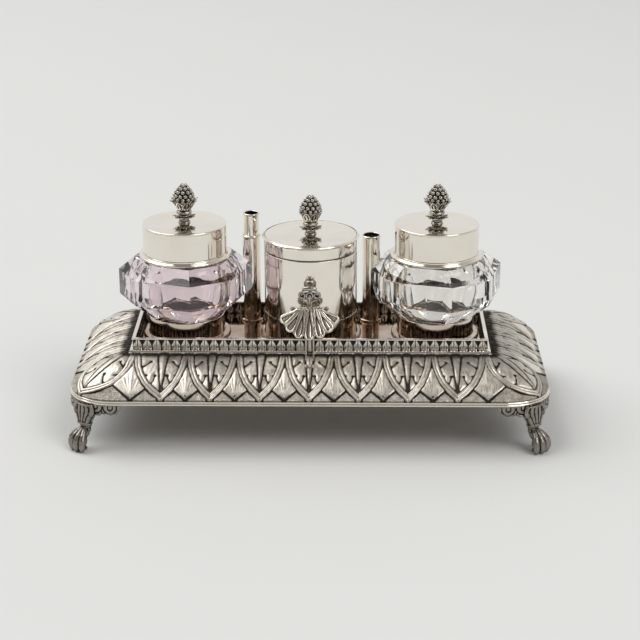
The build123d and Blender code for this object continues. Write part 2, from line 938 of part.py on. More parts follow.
front_left = make_foot()
front_right = mirror(front_left, Plane.YZ)
save(front_left, "foot_front_left")
save(front_right, "foot_front_right")
save(mirror(front_left, Plane.XZ), "foot_back_left")
save(mirror(front_right, Plane.XZ), "foot_back_right")
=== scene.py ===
from math import cos, pi, radians, sin

import bmesh
import bpy
import numpy as np
from mathutils import Matrix, Vector


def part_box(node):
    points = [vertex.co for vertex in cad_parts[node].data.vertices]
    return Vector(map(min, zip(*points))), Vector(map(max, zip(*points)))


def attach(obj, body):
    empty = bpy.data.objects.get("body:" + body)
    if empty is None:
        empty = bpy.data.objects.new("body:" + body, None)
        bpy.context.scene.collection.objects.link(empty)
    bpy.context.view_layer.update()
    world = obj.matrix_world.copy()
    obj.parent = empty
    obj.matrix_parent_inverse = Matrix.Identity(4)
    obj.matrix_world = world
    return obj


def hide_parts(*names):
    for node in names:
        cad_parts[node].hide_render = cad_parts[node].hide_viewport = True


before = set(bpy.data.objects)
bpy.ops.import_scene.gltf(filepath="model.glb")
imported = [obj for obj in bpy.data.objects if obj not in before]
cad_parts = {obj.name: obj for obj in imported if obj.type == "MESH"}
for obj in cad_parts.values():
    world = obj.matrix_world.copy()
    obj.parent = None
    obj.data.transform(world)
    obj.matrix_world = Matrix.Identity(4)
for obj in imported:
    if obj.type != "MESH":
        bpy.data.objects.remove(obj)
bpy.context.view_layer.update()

# Silver desk inkstand. Shapes are worked out in millimetres, and mesh_object turns them to metres.
MM = 0.001
SEED = 11

# --- sizes from the frame, in mm


def node_box(node):
    low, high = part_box(node)
    return np.array(low) / MM, np.array(high) / MM


def half_width(node):
    low, high = node_box(node)
    return (high[0] - low[0]) / 2


LEDGE = node_box("deck_plate")[0][2]
GALLERY_X, GALLERY_Y, DECK = node_box("deck_plate")[1]
RIM_BOTTOM = node_box("reeded_rim")[0][2]
TRAY_X, TRAY_Y, RIM_TOP = node_box("reeded_rim")[1]
MOULDING_X, MOULDING_Y, _ = node_box("gallery_foot_moulding")[1]
GALLERY_TOP = node_box("gallery_top_wire")[0][2]
BOTTLE_X = sum(corner[0] for corner in node_box("socket_right")) / 2
TRAY_CORNER = 26.0
SHEET = 0.9


# --- mesh helpers
def grid_faces(rows, columns, wrap=False):
    """Quads between neighbouring rows of points; wrap joins the last column to the first."""
    across = columns if wrap else columns - 1
    row = np.arange(rows - 1)[:, None] * columns
    column = np.arange(across)[None, :]
    after = (column + 1) % columns
    quads = np.stack([row + column, row + after, row + columns + after, row + columns + column], -1)
    return quads.reshape(-1, 4)


def joined(parts):
    """Several (points, faces) shells as one."""
    points, faces, start = [], [], 0
    for part_points, part_faces in parts:
        points.append(np.asarray(part_points, float))
        faces += [tuple(int(i) + start for i in face) for face in part_faces]
        start += len(part_points)
    return np.concatenate(points), faces


def new_object(name, data):
    piece = bpy.data.objects.new(name, data)
    bpy.context.scene.collection.objects.link(piece)
    return piece


def mesh_object(name, points, faces):
    mesh = bpy.data.meshes.new(name)
    mesh.from_pydata((np.asarray(points, float) * MM).tolist(), [], [list(map(int, f)) for f in faces])
    mesh.update()
    return new_object(name, mesh)


def vertex_vectors(mesh, name):
    vectors = np.zeros(len(mesh.vertices) * 3)
    mesh.vertices.foreach_get(name, vectors)
    return vectors.reshape(-1, 3)


def bake_modifiers(piece):
    """Applies the piece's modifiers, so that only its mesh is left."""
    bpy.context.view_layer.update()
    evaluated = piece.evaluated_get(bpy.context.evaluated_depsgraph_get())
    mesh = bpy.data.meshes.new_from_object(evaluated)
    piece.modifiers.clear()
    piece.data = mesh


def thickened(piece):
    """Backs a relief surface with the thickness of its sheet."""
    thick = piece.modifiers.new("sheet", "SOLIDIFY")
    thick.thickness = SHEET * MM
    thick.offset = -1
    bake_modifiers(piece)


def clip_points(piece, low, high):
    points = np.clip(vertex_vectors(piece.data, "co") / MM, low, high)
    piece.data.vertices.foreach_set("co", (points * MM).ravel())


def set_layer(piece, name, values):
    layer = piece.data.attributes.new(name, "FLOAT", "POINT")
    layer.data.foreach_set("value", np.asarray(values, np.float32))


def neighbour_mean(values, edges, count):
    ends, others = edges.ravel(), edges[:, ::-1].ravel()
    degree = np.maximum(np.bincount(ends, minlength=count), 1)
    columns = [np.bincount(ends, values[others, axis], count) / degree for axis in range(3)]
    return np.stack(columns, -1)


def tarnish_and_shade_in_hollows(piece, depth, reach, floor):
    """Writes how far each point lies below its surroundings, near by and further off, as a
    0 to 1 layer of patina and painted shade in the hollows."""
    mesh = piece.data
    edges = np.zeros(len(mesh.edges) * 2, np.int32)
    mesh.edges.foreach_get("vertices", edges)
    edges = edges.reshape(-1, 2)
    normals = vertex_vectors(mesh, "normal")
    points = vertex_vectors(mesh, "co") / MM
    spread = points
    hollow = np.zeros(len(points))
    for step in range(reach):
        spread = 0.5 * spread + 0.5 * neighbour_mean(spread, edges, len(points))
        if step + 1 in (reach // 4, reach):
            below = np.sum((spread - points) * normals, axis=1) / depth
            hollow = np.maximum(hollow, below * (1.0 if step + 1 == reach else 2.2))
    set_layer(piece, "tarnish_and_shade", np.clip(hollow + floor, 0, 1))


def finish_piece(piece, body, material, replaced, sharp=None):
    """Shading, material, body and slot of a piece."""
    mesh = piece.data
    mesh.shade_smooth()
    if sharp is not None:
        mesh.set_sharp_from_angle(angle=radians(sharp))
    mesh.materials.clear()
    mesh.materials.append(material)
    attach(piece, body)
    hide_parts(*replaced)


def arc(centre_r, centre_h, radius, start, end, steps):
    angles = np.radians(np.linspace(start, end, steps + 1))
    return [(centre_r + radius * cos(a), centre_h + radius * sin(a)) for a in angles]


def lathe(profile, x=0.0, y=0.0, z=0.0, segments=144):
    """A turned shell from (radius, height) points; the last joins the first."""
    profile = np.array([*profile, profile[0]], float)
    angles = np.linspace(0, 2 * pi, segments, endpoint=False)
    radius = profile[:, :1]
    height = z + np.broadcast_to(profile[:, 1:], (len(profile), segments))
    points = np.stack([x + radius * np.cos(angles), y + radius * np.sin(angles), height], -1)
    return points.reshape(-1, 3), grid_faces(len(profile), segments, wrap=True)


def welded(piece):
    work = bmesh.new()
    work.from_mesh(piece.data)
    bmesh.ops.remove_doubles(work, verts=work.verts, dist=1e-3 * MM)
    bmesh.ops.recalc_face_normals(work, faces=work.faces)
    work.to_mesh(piece.data)
    work.free()


def ball(centre, radius, rings=12, segments=20):
    """A closed sphere or, with three radii, an ellipsoid."""
    radii = np.broadcast_to(radius, 3)
    polar = np.linspace(0, pi, rings + 1)[1:-1]
    turn = np.linspace(0, 2 * pi, segments, endpoint=False)
    shell = [(sin(p) * np.cos(turn), sin(p) * np.sin(turn), np.full(segments, cos(p))) for p in polar]
    points = np.concatenate([np.stack(ring, -1) for ring in shell])
    points = np.vstack([points, [0, 0, 1], [0, 0, -1]])
    faces = [tuple(f) for f in grid_faces(len(polar), segments, wrap=True)[:, ::-1]]
    top, bottom, last = len(points) - 2, len(points) - 1, (len(polar) - 1) * segments
    for i in range(segments):
        after = (i + 1) % segments
        faces += [(top, i, after), (bottom, last + after, last + i)]
    return points * radii + np.asarray(centre, float), faces


def limb(path, radii, segments=16, cap_rings=4):
    """A round limb along a path, with a radius at each point and round ends."""
    path = np.asarray(path, float)
    tangents = np.gradient(path, axis=0)
    tangents /= np.linalg.norm(tangents, axis=1)[:, None]
    side = np.cross(tangents[0], [0.13, 0.27, 0.95])
    rings = []
    for point, tangent, radius in zip(path, tangents, np.asarray(radii, float)):
        side = side - tangent * np.dot(side, tangent)
        side /= np.linalg.norm(side)
        rings.append((point, radius, side, np.cross(tangent, side)))

    def cap_ring(ring, heading, angle):
        centre, radius, side, other = ring
        return centre + heading * radius * sin(angle), max(radius * cos(angle), 1e-3), side, other

    start, end = rings[0], rings[-1]
    for angle in np.linspace(0, pi / 2, cap_rings + 1)[1:]:
        rings.insert(0, cap_ring(start, -tangents[0], angle))
        rings.append(cap_ring(end, tangents[-1], angle))
    turn = np.linspace(0, 2 * pi, segments, endpoint=False)[:, None]
    points = [c + r * (np.cos(turn) * side + np.sin(turn) * other) for c, r, side, other in rings]
    return np.concatenate(points), grid_faces(len(rings), segments, wrap=True)


def slab(surface, thickness):
    """A closed plate from a grid of points, thickened along its own normals both ways."""
    rows, columns, _ = surface.shape
    along = np.gradient(surface, axis=0)
    across = np.gradient(surface, axis=1)
    normal = np.cross(along, across)
    normal /= np.maximum(np.linalg.norm(normal, axis=2, keepdims=True), 1e-9)
    half = np.broadcast_to(np.asarray(thickness, float), (rows, columns))[..., None] / 2
    front = (surface + normal * half).reshape(-1, 3)
    back = (surface - normal * half).reshape(-1, 3)
    count = rows * columns
    quads = grid_faces(rows, columns)
    faces = [tuple(q) for q in quads] + [tuple(i + count for i in q[::-1]) for q in quads]
    border = list(range(columns))
    border += [r * columns + columns - 1 for r in range(1, rows)]
    border += [(rows - 1) * columns + c for c in range(columns - 2, -1, -1)]
    border += [r * columns for r in range(rows - 2, 0, -1)]
    for a, b in zip(border, border[1:] + border[:1]):
        faces.append((b, a, a + count, b + count))
    return np.vstack([front, back]), faces


def ramp(low, high, x):
    """A soft step: 0 below low, 1 above high."""
    t = np.clip((x - low) / (high - low), 0, 1)
    return t * t * (3 - 2 * t)


def line(distance, width):
    """A soft line: 1 where distance is 0, fading over width."""
    return np.exp(-((distance / width) ** 2))


def spin(angle):
    """The matrix that turns rows of points about the z axis."""
    return np.array([[cos(angle), sin(angle), 0], [-sin(angle), cos(angle), 0], [0, 0, 1]])


# --- materials
def node_material(name):
    material = bpy.data.materials.new(name)
    material.use_nodes = True
    tree = material.node_tree
    shader = tree.nodes["Principled BSDF"]
    return material, tree, shader


def add_node(tree, kind, values=None):
    node = tree.nodes.new(f"ShaderNode{kind}")
    preset(node, values or {})
    return node


def preset(node, values):
    for socket, value in values.items():
        node.inputs[socket].default_value = value


def layer_value(tree, name):
    layer = add_node(tree, "Attribute")
    layer.attribute_name = name
    return layer.outputs["Fac"]


def noise(tree, scale, detail, stretch=(1, 1, 1), distortion=0.0):
    """A noise texture in object space, in features per metre."""
    where = add_node(tree, "TexCoord")
    stretched = add_node(tree, "Mapping", {"Scale": stretch})
    values = {"Scale": scale, "Detail": detail, "Distortion": distortion}
    texture = add_node(tree, "TexNoise", values)
    tree.links.new(where.outputs["Object"], stretched.inputs["Vector"])
    tree.links.new(stretched.outputs["Vector"], texture.inputs["Vector"])
    return texture.outputs["Fac"]


def mapped(tree, value, low, high, out_low, out_high):
    values = {"From Min": low, "From Max": high, "To Min": out_low, "To Max": out_high}
    node = add_node(tree, "MapRange", values)
    tree.links.new(value, node.inputs["Value"])
    return node.outputs["Result"]


def blended(tree, share, first, second):
    """A colour mix; first and second are colours or sockets."""
    node = add_node(tree, "Mix")
    node.data_type = "RGBA"
    tree.links.new(share, node.inputs["Factor"])
    for socket, value in ((node.inputs[6], first), (node.inputs[7], second)):
        if isinstance(value, tuple):
            socket.default_value = (*value, 1.0)
        else:
            tree.links.new(value, socket)
    return node.outputs[2]


def combined(tree, operation, first, second):
    node = add_node(tree, "Math")
    node.operation = operation
    for socket, value in ((node.inputs[0], first), (node.inputs[1], second)):
        if isinstance(value, float):
            socket.default_value = value
        else:
            tree.links.new(value, socket)
    return node.outputs[0]


def bumped(tree, height, distance, normal=None):
    node = add_node(tree, "Bump", {"Distance": distance})
    tree.links.new(height, node.inputs["Height"])
    if normal is not None:
        tree.links.new(normal, node.inputs["Normal"])
    return node.outputs["Normal"]


BRIGHT_SILVER = np.array((0.88, 0.835, 0.76))
WARM_SILVER = np.array((0.76, 0.69, 0.59))
# near-black for patina, and for painted shade where the dark layer holds it
TARNISH_AND_SHADE = (0.022, 0.016, 0.012)
# a brown mixed into silver near the deck, fading out over the given height above it
LOW_BROWN = (0.38, 0.25, 0.17)
BROWN_HEIGHT = 26


def silver(name, rough, tone=1.0, wobble=0.00006, tarnish_and_shade_range=None, cloud=0.35, matted=False, low_brown=0.0):
    """Old silver: faint tone clouds, hairline wear, a hand-worked ripple and, where a mesh
    carries the layer, near-black patina in its hollows and painted shade from that layer; the range
    pair gives the layer's range from clean to black, and the last argument is the share of brown close to
    the deck."""
    material, tree, shader = node_material(name)
    links = tree.links
    preset(shader, {"Metallic": 1.0})
    clouds = mapped(tree, noise(tree, 55, 4), 0.42, 0.72, 0.0, cloud)
    colour = blended(tree, clouds, tuple(BRIGHT_SILVER * tone), tuple(WARM_SILVER * tone))
    hairlines = noise(tree, 900, 2, stretch=(1.0, 0.25, 0.06), distortion=0.4)
    smudges = noise(tree, 130, 5)
    roughness = combined(tree, "ADD", mapped(tree, hairlines, 0.35, 0.75, rough * 0.6, rough * 1.4),
                         mapped(tree, smudges, 0.45, 0.75, 0.0, rough * 0.8))
    ripple = bumped(tree, noise(tree, 70, 1), wobble)
    normal = bumped(tree, hairlines, 0.0000022, normal=ripple)
    where = add_node(tree, "TexCoord")
    # browner towards the deck, in soft patches
    if low_brown:
        split = add_node(tree, "SeparateXYZ")
        links.new(where.outputs["Object"], split.inputs["Vector"])
        browning = mapped(tree, split.outputs["Z"], DECK * MM, (DECK + BROWN_HEIGHT) * MM, low_brown, 0.0)
        patches = mapped(tree, noise(tree, 60, 3, stretch=(1, 1, 0.3)), 0.3, 0.65, 0.55, 1.2)
        colour = blended(tree, combined(tree, "MULTIPLY", browning, patches), colour, LOW_BROWN)
    if tarnish_and_shade_range:
        specks = mapped(tree, noise(tree, 420, 3), 0.3, 0.7, 0.8, 1.15)
        speckled = combined(tree, "MULTIPLY", layer_value(tree, "tarnish_and_shade"), specks)
        black = mapped(tree, speckled, *tarnish_and_shade_range, 0.0, 0.97)
        # mixes in the dark layer: patina in hollows and chased lines, and painted shade where the layer
        # holds it
        colour = blended(tree, black, colour, TARNISH_AND_SHADE)
        roughness = combined(tree, "ADD", roughness, mapped(tree, black, 0.0, 1.0, 0.0, 0.3))
    if matted:
        cells = add_node(tree, "TexVoronoi", {"Scale": 1500})
        links.new(where.outputs["Object"], cells.inputs["Vector"])
        pits = combined(tree, "MULTIPLY", cells.outputs["Distance"], layer_value(tree, "matted"))
        normal = bumped(tree, pits, 0.00035, normal=normal)
    links.new(colour, shader.inputs["Base Color"])
    links.new(roughness, shader.inputs["Roughness"])
    links.new(normal, shader.inputs["Normal"])
    return material


def glass(name, tint, depth):
    """Cut lead glass, with faint striae and a light colour."""
    material, tree, shader = node_material(name)
    streaks = mapped(tree, noise(tree, 40, 2), 0.35, 0.7, 0.0, 1.0)
    tree.links.new(blended(tree, streaks, tint, depth), shader.inputs["Base Color"])
    preset(shader, {"Transmission Weight": 1.0, "IOR": 1.53})
    scuffs = mapped(tree, noise(tree, 500, 5), 0.55, 0.8, 0.0, 0.06)
    tree.links.new(scuffs, shader.inputs["Roughness"])
    tree.links.new(bumped(tree, noise(tree, 90, 1), 0.00002), shader.inputs["Normal"])
    return material


POLISHED = silver("polished_silver", rough=0.09, low_brown=0.85)
DECK_SILVER = silver("deck_silver", rough=0.075, wobble=0.00003, tone=0.85, low_brown=0.8)
CHASED = silver("chased_silver", rough=0.33, tone=0.98, tarnish_and_shade_range=(0.07, 0.4), cloud=0.6, matted=True)
STRIP_SILVER = silver("strip_silver", rough=0.2, tone=1.0, tarnish_and_shade_range=(0.22, 0.6))
RIM_SILVER = silver("rim_silver", rough=0.16, tone=0.95)
SHELL_SILVER = silver("shell_silver", rough=0.2, tone=1.0, tarnish_and_shade_range=(0.05, 0.4))
CAST = silver("cast_silver", rough=0.2, tone=0.54, tarnish_and_shade_range=(0.02, 0.22))
BERRY_SILVER = silver("berry_silver", rough=0.17, tone=0.68, tarnish_and_shade_range=(0.04, 0.18))
# the silver bezel ring, darkened all over as painted shade for the joint under the lid
BEZEL_SHADE = silver("bezel_painted_shade", rough=0.4, tone=0.25)
AMETHYST = glass("amethyst_glass", (0.91, 0.84, 0.86), (0.82, 0.73, 0.76))
CLEAR = glass("clear_glass", (0.97, 0.96, 0.945), (0.93, 0.915, 0.895))


# --- chased border
CELL = 27.6
OUTER_HALF = 16.9
FRONT_HALF = 3 * CELL + OUTER_HALF
END_CELL = 18.8
END_HALF = 1.5 * END_CELL
BORDER_INSET = 1.3
CORNER_RADIUS = TRAY_CORNER - BORDER_INSET
INNER_RADIUS = 0.8
BORDER_CURVE = 1.9
BORDER_RUN = 35.7
STRAP_PATH = ((0.95, -0.05), (0.93, 0.05), (0.88, 0.17), (0.82, 0.40), (0.70, 0.56), (0.535, 0.70),
              (0.256, 0.825), (0.0, 0.925))
STRAP_TIP = STRAP_PATH[-1][1]
STRAP_HALF = 1.6
UPPER_STEM = ((0.40, 0.27), (0.47, 0.31), (0.56, 0.35), (0.66, 0.40), (0.72, 0.50))
LOWER_STEM = ((0.23, 0.57), (0.26, 0.63), (0.33, 0.70), (0.46, 0.73))
UPPER_NOTCH = ((0.50, 0.56), (0.66, 0.54))
FAN_SHOULDER = (6.4, 0.81)
FAN_TIP = 0.955
LEAF_STRETCH = 0.955
PATCH_LAP = 1.002
ROW_STEP, FRONT_STEP, END_STEP, CORNER_COLUMNS = 0.25, 0.29, 0.27, 250


def border_levels(v):
    """Half length, half width, corner radius and height of the border at a share v of its fall."""
    half_x = MOULDING_X + (TRAY_X - BORDER_INSET - MOULDING_X) * v
    half_y = MOULDING_Y + (TRAY_Y - BORDER_INSET - MOULDING_Y) * v
    radius = INNER_RADIUS + (CORNER_RADIUS - INNER_RADIUS) * v
    height = LEDGE - (LEDGE - RIM_TOP) * v**BORDER_CURVE
    return half_x, half_y, radius, height


def front_point(t, v):
    _, half_y, _, height = border_levels(v)
    return t * FRONT_HALF, -half_y, height


def end_point(t, v):
    half_x, _, _, height = border_levels(v)
    return half_x, t * END_HALF, height


def corner_point(t, v):
    """The front right corner, from the front's last leaf to the end's first."""
    half_x, half_y, radius, height = border_levels(v)
    before = half_x - radius - FRONT_HALF
    after = half_y - radius - END_HALF
    bend = radius * pi / 2
    run = (t + 1) / 2 * (before + bend + after)
    if run < before:
        return FRONT_HALF + run, -half_y, height
    if run > before + bend:
        return half_x, -half_y + radius + run - before - bend, height
    angle = (run - before) / radius
    return half_x - radius + radius * sin(angle), -half_y + radius - radius * cos(angle), height


def corner_half(v):
    half_x, half_y, radius, _ = border_levels(v)
    return (half_x - radius - FRONT_HALF + half_y - radius - END_HALF + radius * pi / 2) / 2


def chasing(u, v, half):
    """Relief of one cell: height, darkening for patina and painted shade, and matted share. u runs from -1
    to 1 between two fan leaves, v from 0 at the top to 1 at the rim, and half is the cell's half width."""
    u = np.abs(u)
    x = u * half
    y = v * BORDER_RUN
    fine = np.clip(half * 2 / CELL, 0.62, 1)
    dense = np.linspace(-0.1, 1.1, 601)
    strap = np.interp(dense, [p[1] for p in STRAP_PATH], [p[0] for p in STRAP_PATH])
    weights = np.hanning(63)
    strap = np.convolve(np.pad(strap, 30, "edge"), weights[1:-1] / weights.sum(), "valid")
    strap = strap - np.interp(STRAP_TIP, dense, strap) * ramp(0.8, STRAP_TIP, dense)
    strap_x = np.interp(v, dense, strap) * half
    slope = np.gradient(strap_x, axis=0) / np.maximum(np.gradient(y, axis=0), 1e-6)
    off = (x - strap_x) / np.hypot(1, slope)
    below_tip = v > STRAP_TIP
    off = np.where(below_tip, np.hypot(x, y - STRAP_TIP * BORDER_RUN), off)
    away = np.abs(off)

    reeds = 0.5 * np.sqrt(np.clip(1 - ((away - STRAP_HALF / 2) / (STRAP_HALF / 2)) ** 2, 0, 1))
    in_strap = away < STRAP_HALF
    outline = 1.25 * line(away - STRAP_HALF - 0.28 * fine, 0.48 * fine) + line(away, 0.3 * fine)

    inside = (off < 0) & ~below_tip
    shoulder_x, shoulder_v = FAN_SHOULDER
    from_side = half - x
    fan_edge = shoulder_x * np.clip((FAN_TIP - v) / (FAN_TIP - shoulder_v), 0, 99)
    in_fan = (off > 0) & ~below_tip & (from_side < fan_edge) | below_tip & (from_side < fan_edge)
    ground = ~inside & ~in_fan & ~in_strap

    # the leaf inside the arch
    spear = 0.21 * half * np.clip(1 - v / 0.9, 0, 1) + 0.15
    spear_line = line(x - spear, 0.55 * fine) * (1 - ramp(0.72, 0.88, v))
    spear_ridge = 0.35 * np.clip(1 - x / np.maximum(spear, 0.2), 0, 1) * (v < 0.9)
    stems = np.full(x.shape, 1e9)
    for path in (UPPER_STEM, LOWER_STEM, UPPER_NOTCH):
        for (u0, v0), (u1, v1) in zip(path[:-1], path[1:]):
            x0, y0, x1, y1 = u0 * half, v0 * BORDER_RUN, u1 * half, v1 * BORDER_RUN
            length = (x1 - x0) ** 2 + (y1 - y0) ** 2
            t = np.clip(((x - x0) * (x1 - x0) + (y - y0) * (y1 - y0)) / length, 0, 1)
            stems = np.minimum(stems, np.hypot(x - x0 - t * (x1 - x0), y - y0 - t * (y1 - y0)))
    eyes = np.full(x.shape, 1e9)
    for eye_u, eye_v in (UPPER_STEM[0], LOWER_STEM[0]):
        eyes = np.minimum(eyes, np.hypot(x - eye_u * half, y - eye_v * BORDER_RUN))
    stem_cut = line(stems, 0.52 * fine)
    eye_cut = np.exp(-((eyes / (0.95 * fine)) ** 4))
    puff = 0.42 * (1 - line(stems, 1.5)) * (1 - line(off + STRAP_HALF, 1.4))
    veins = 0.02 * np.cos(2 * pi * (x / half * 7 - v * 4)) * ramp(0.1, 0.3, v)
    leaf = 0.06 + puff + veins + spear_ridge - 0.34 * spear_line - 0.36 * stem_cut - 0.3 * eye_cut

    # the fan leaf between two arches
    reach = np.hypot(from_side, (FAN_TIP - v) * BORDER_RUN)
    angle = np.arctan2(from_side, np.maximum((FAN_TIP - v) * BORDER_RUN, 1e-3))
    flutes = np.cos(angle / radians(5.2) * pi) * ramp(0.8, 5, reach)
    flutes = flutes * (1 - ramp(radians(22), radians(34), angle))
    fan = 0.42 + 0.035 * flutes + 0.12 * line(from_side, 1.3) - 0.35 * ramp(14, 26, reach)
    fan_gap = (fan_edge - from_side) * 0.78
    fan = fan * ramp(-0.05, 0.5, fan_gap)
    fan_line = line(fan_gap + 0.25, 0.6) * ~in_strap * ~inside

    height = np.where(in_strap, reeds + 0.12, np.where(inside, leaf, np.where(in_fan, fan, -0.1)))
    height = height - 0.34 * outline - 0.3 * fan_line
    top = ramp(0.0, 0.05, v) * (1 - ramp(0.93, 0.955, v))
    in_leaf = inside & ~in_strap
    tarnish_and_shade = outline + spear_line * in_leaf + 1.1 * stem_cut * in_leaf + 1.6 * eye_cut * in_leaf
    # chased lines, matted ground and strap darken as patina; the leaves darken more towards the top of the
    # border
    tarnish_and_shade = tarnish_and_shade + 1.2 * fan_line + 0.24 * ground + (0.24 - 0.15 * v) * in_leaf + 0.13 * in_strap
    # a faint even tone over the fan, and painted shade in streaks near its tip where it turns down to the
    # rim
    streaks = 0.6 + 0.4 * np.cos(angle / radians(4.0) * pi)
    tarnish_and_shade = tarnish_and_shade + in_fan * (0.05 + 0.4 * streaks * ramp(0.8, 0.92, v))
    # painted shade: a dark band along the top of the border, under the moulding
    tarnish_and_shade = tarnish_and_shade + 0.4 * (1 - ramp(0.0, 0.2, v))
    matt = ground * (1 - outline)
    return height * top, np.clip(tarnish_and_shade, 0, 1), np.clip(matt, 0, 1)


def front_cells(t, _):
    """Which leaf each point of the front belongs to: its share of the half width, and that."""
    x = t * FRONT_HALF
    leaf = np.clip(np.round(x / CELL), -3, 3)
    local = x - leaf * CELL
    half = np.where((np.abs(leaf) == 3) & (local * leaf > 0), OUTER_HALF, CELL / 2)
    return local / half, half


def end_cells(t, _):
    y = t * END_HALF
    local = y - np.clip(np.round(y / END_CELL), -1, 1) * END_CELL
    return local / (END_CELL / 2), np.full(t.shape, END_CELL / 2)


def corner_cells(t, v):
    half = np.array([corner_half(share) for share in v[:, 0]])[:, None]
    return t, half * np.ones_like(t)


def border_patch(point, cells, columns):
    """One stretch of the border as a fine relief mesh; point maps (t, v) to the bare surface."""
    rows = int(BORDER_RUN / ROW_STEP)
    shares = np.linspace(-PATCH_LAP, PATCH_LAP, int(columns))
    v_grid, t_grid = np.meshgrid(np.linspace(0, 1, rows), shares, indexing="ij")
    bare = np.array([[point(t, v) for t in t_grid[0]] for v in v_grid[:, 0]])
    along = np.gradient(bare, axis=1)
    down = np.gradient(bare, axis=0)
    normal = np.cross(down, along)
    normal /= np.linalg.norm(normal, axis=2, keepdims=True)
    if normal[rows // 2, 3, 2] < 0:
        normal = -normal
    u_grid, half_grid = cells(t_grid, v_grid)
    height, tarnish_and_shade, matt = chasing(u_grid, v_grid * LEAF_STRETCH, half_grid)
    height = height + np.random.default_rng(SEED).normal(0, 0.05, height.shape) * matt
    return bare + normal * height[..., None], tarnish_and_shade, matt


def make_border():
    patches = {
        "front": border_patch(front_point, front_cells, 2 * FRONT_HALF / FRONT_STEP),
        "end": border_patch(end_point, end_cells, 2 * END_HALF / END_STEP),
        "corner": border_patch(corner_point, corner_cells, CORNER_COLUMNS),
    }
    turns = {
        "front": ((1, 1), (1, -1)),
        "end": ((1, 1), (-1, 1)),
        "corner": ((1, 1), (-1, 1), (1, -1), (-1, -1)),
    }
    for name, (shape, tarnish_and_shade, matt) in patches.items():
        rows, columns, _ = shape.shape
        for index, (flip_x, flip_y) in enumerate(turns[name]):
            faces = grid_faces(rows, columns)
            if flip_x * flip_y < 0:
                faces = faces[:, ::-1]
            flipped = shape * (flip_x, flip_y, 1)
            piece = mesh_object(f"border_{name}_{index}", flipped.reshape(-1, 3), faces)
            set_layer(piece, "tarnish_and_shade", tarnish_and_shade.ravel())
            set_layer(piece, "matted", matt.ravel())
            thickened(piece)
            finish_piece(piece, "stand", CHASED, ("leaf_border",), sharp=60)


make_border()


# --- gallery strips
STRIP_LEAVES_FRONT = 37
STRIP_LEAVES_END = 11
STRIP_ROWS, STRIP_STEP = 30, 0.24


def strip_relief(u, v):
    """Stiff leaves side by side, with dark drilled notches between their tips."""
    u = np.abs(u)
    side = np.interp(v, [0, 0.12, 0.45, 0.62, 0.95, 1.0], [0.72, 0.9, 0.96, 0.86, 0.42, 0.38])
    gap = side - u
    leaf = ramp(-0.02, 0.14, gap)
    flute = 0.16 * np.cos(pi * u / 0.34) * ramp(0.1, 0.3, v)
    middle = line(u, 0.07) * ramp(0.25, 0.4, v)
    height = 0.42 * leaf * (0.75 + 0.25 * np.sin(pi * v)) + flute * leaf - 0.28 * middle
    notch = (1 - leaf) * ramp(0.5, 0.62, v)
    foot = (1 - leaf) * (1 - ramp(0.1, 0.22, v))
    height = height - 0.45 * notch - 0.2 * foot
    tarnish_and_shade = 0.28 + 0.95 * notch + 0.6 * foot + 0.5 * middle + 0.35 * (1 - leaf)
    edge = ramp(0.0, 0.05, v) * (1 - ramp(0.95, 1.0, v))
    return height * edge, np.clip(tarnish_and_shade, 0, 1)


def make_strip(side, length, half_depth, leaves, angle):
    rows, columns = STRIP_ROWS, int(length / STRIP_STEP)
    v = np.linspace(0, 1, rows)[:, None]
    t = np.linspace(0, 1, columns)[None, :]
    place = t * leaves
    u = np.broadcast_to(2 * (place - np.floor(np.minimum(place, leaves - 1e-6))) - 1, (rows, columns))
    height, tarnish_and_shade = strip_relief(u, np.broadcast_to(v, u.shape))
    x = np.broadcast_to((t - 0.5) * length, u.shape)
    y = -half_depth + 0.35 - height
    z = np.broadcast_to(DECK + 0.02 + v * (GALLERY_TOP - DECK - 0.04), u.shape)
    surface = np.stack([x, y, z], -1)
    points = surface.reshape(-1, 3) @ spin(angle)
    piece = mesh_object(f"strip_{side}", points, grid_faces(rows, columns))
    set_layer(piece, "tarnish_and_shade", tarnish_and_shade.ravel())
    thickened(piece)
    finish_piece(piece, "stand", STRIP_SILVER, (f"gallery_{side}",))


make_strip("front", 2 * GALLERY_X, GALLERY_Y, STRIP_LEAVES_FRONT, 0)
make_strip("back", 2 * GALLERY_X, GALLERY_Y, STRIP_LEAVES_FRONT, pi)
make_strip("left", 2 * GALLERY_Y, GALLERY_X, STRIP_LEAVES_END, pi / 2)
make_strip("right", 2 * GALLERY_Y, GALLERY_X, STRIP_LEAVES_END, -pi / 2)


# --- turned silver
def turned_piece(name, profile, x, body, node):
    piece = mesh_object(name, *lathe(profile, x, 0, node_box(node)[0][2]))
    welded(piece)
    finish_piece(piece, body, POLISHED, (node,), sharp=38)


def node_height(node):
    low, high = node_box(node)
    return high[2] - low[2]


SOCKET_WALL = 0.9
SOCKET_FOOT = 1.4
BOTTLE_SOCKET, BOX_SOCKET = 22.15, 26.9


def make_socket(node, radius):
    low, high = node_box(node)
    x, height, flange = (low[0] + high[0]) / 2, node_height(node), half_width(node)
    bore, edge, lip = radius - SOCKET_WALL, SOCKET_FOOT / 2, SOCKET_WALL / 2
    profile = [(bore, 0.0), (flange - 0.2, 0.0)]
    profile += arc(flange - edge, edge, edge, -60, 90, 8)
    profile += arc(radius + 0.5, SOCKET_FOOT + 0.5, 0.5, -90, -180, 5)
    profile += arc(radius - lip, height - lip, lip, 0, 180, 10)
    turned_piece(f"{node}_dressed", profile, x, "stand", node)


make_socket("socket_left", BOTTLE_SOCKET)
make_socket("socket_right", BOTTLE_SOCKET)
make_socket("socket_centre", BOX_SOCKET)


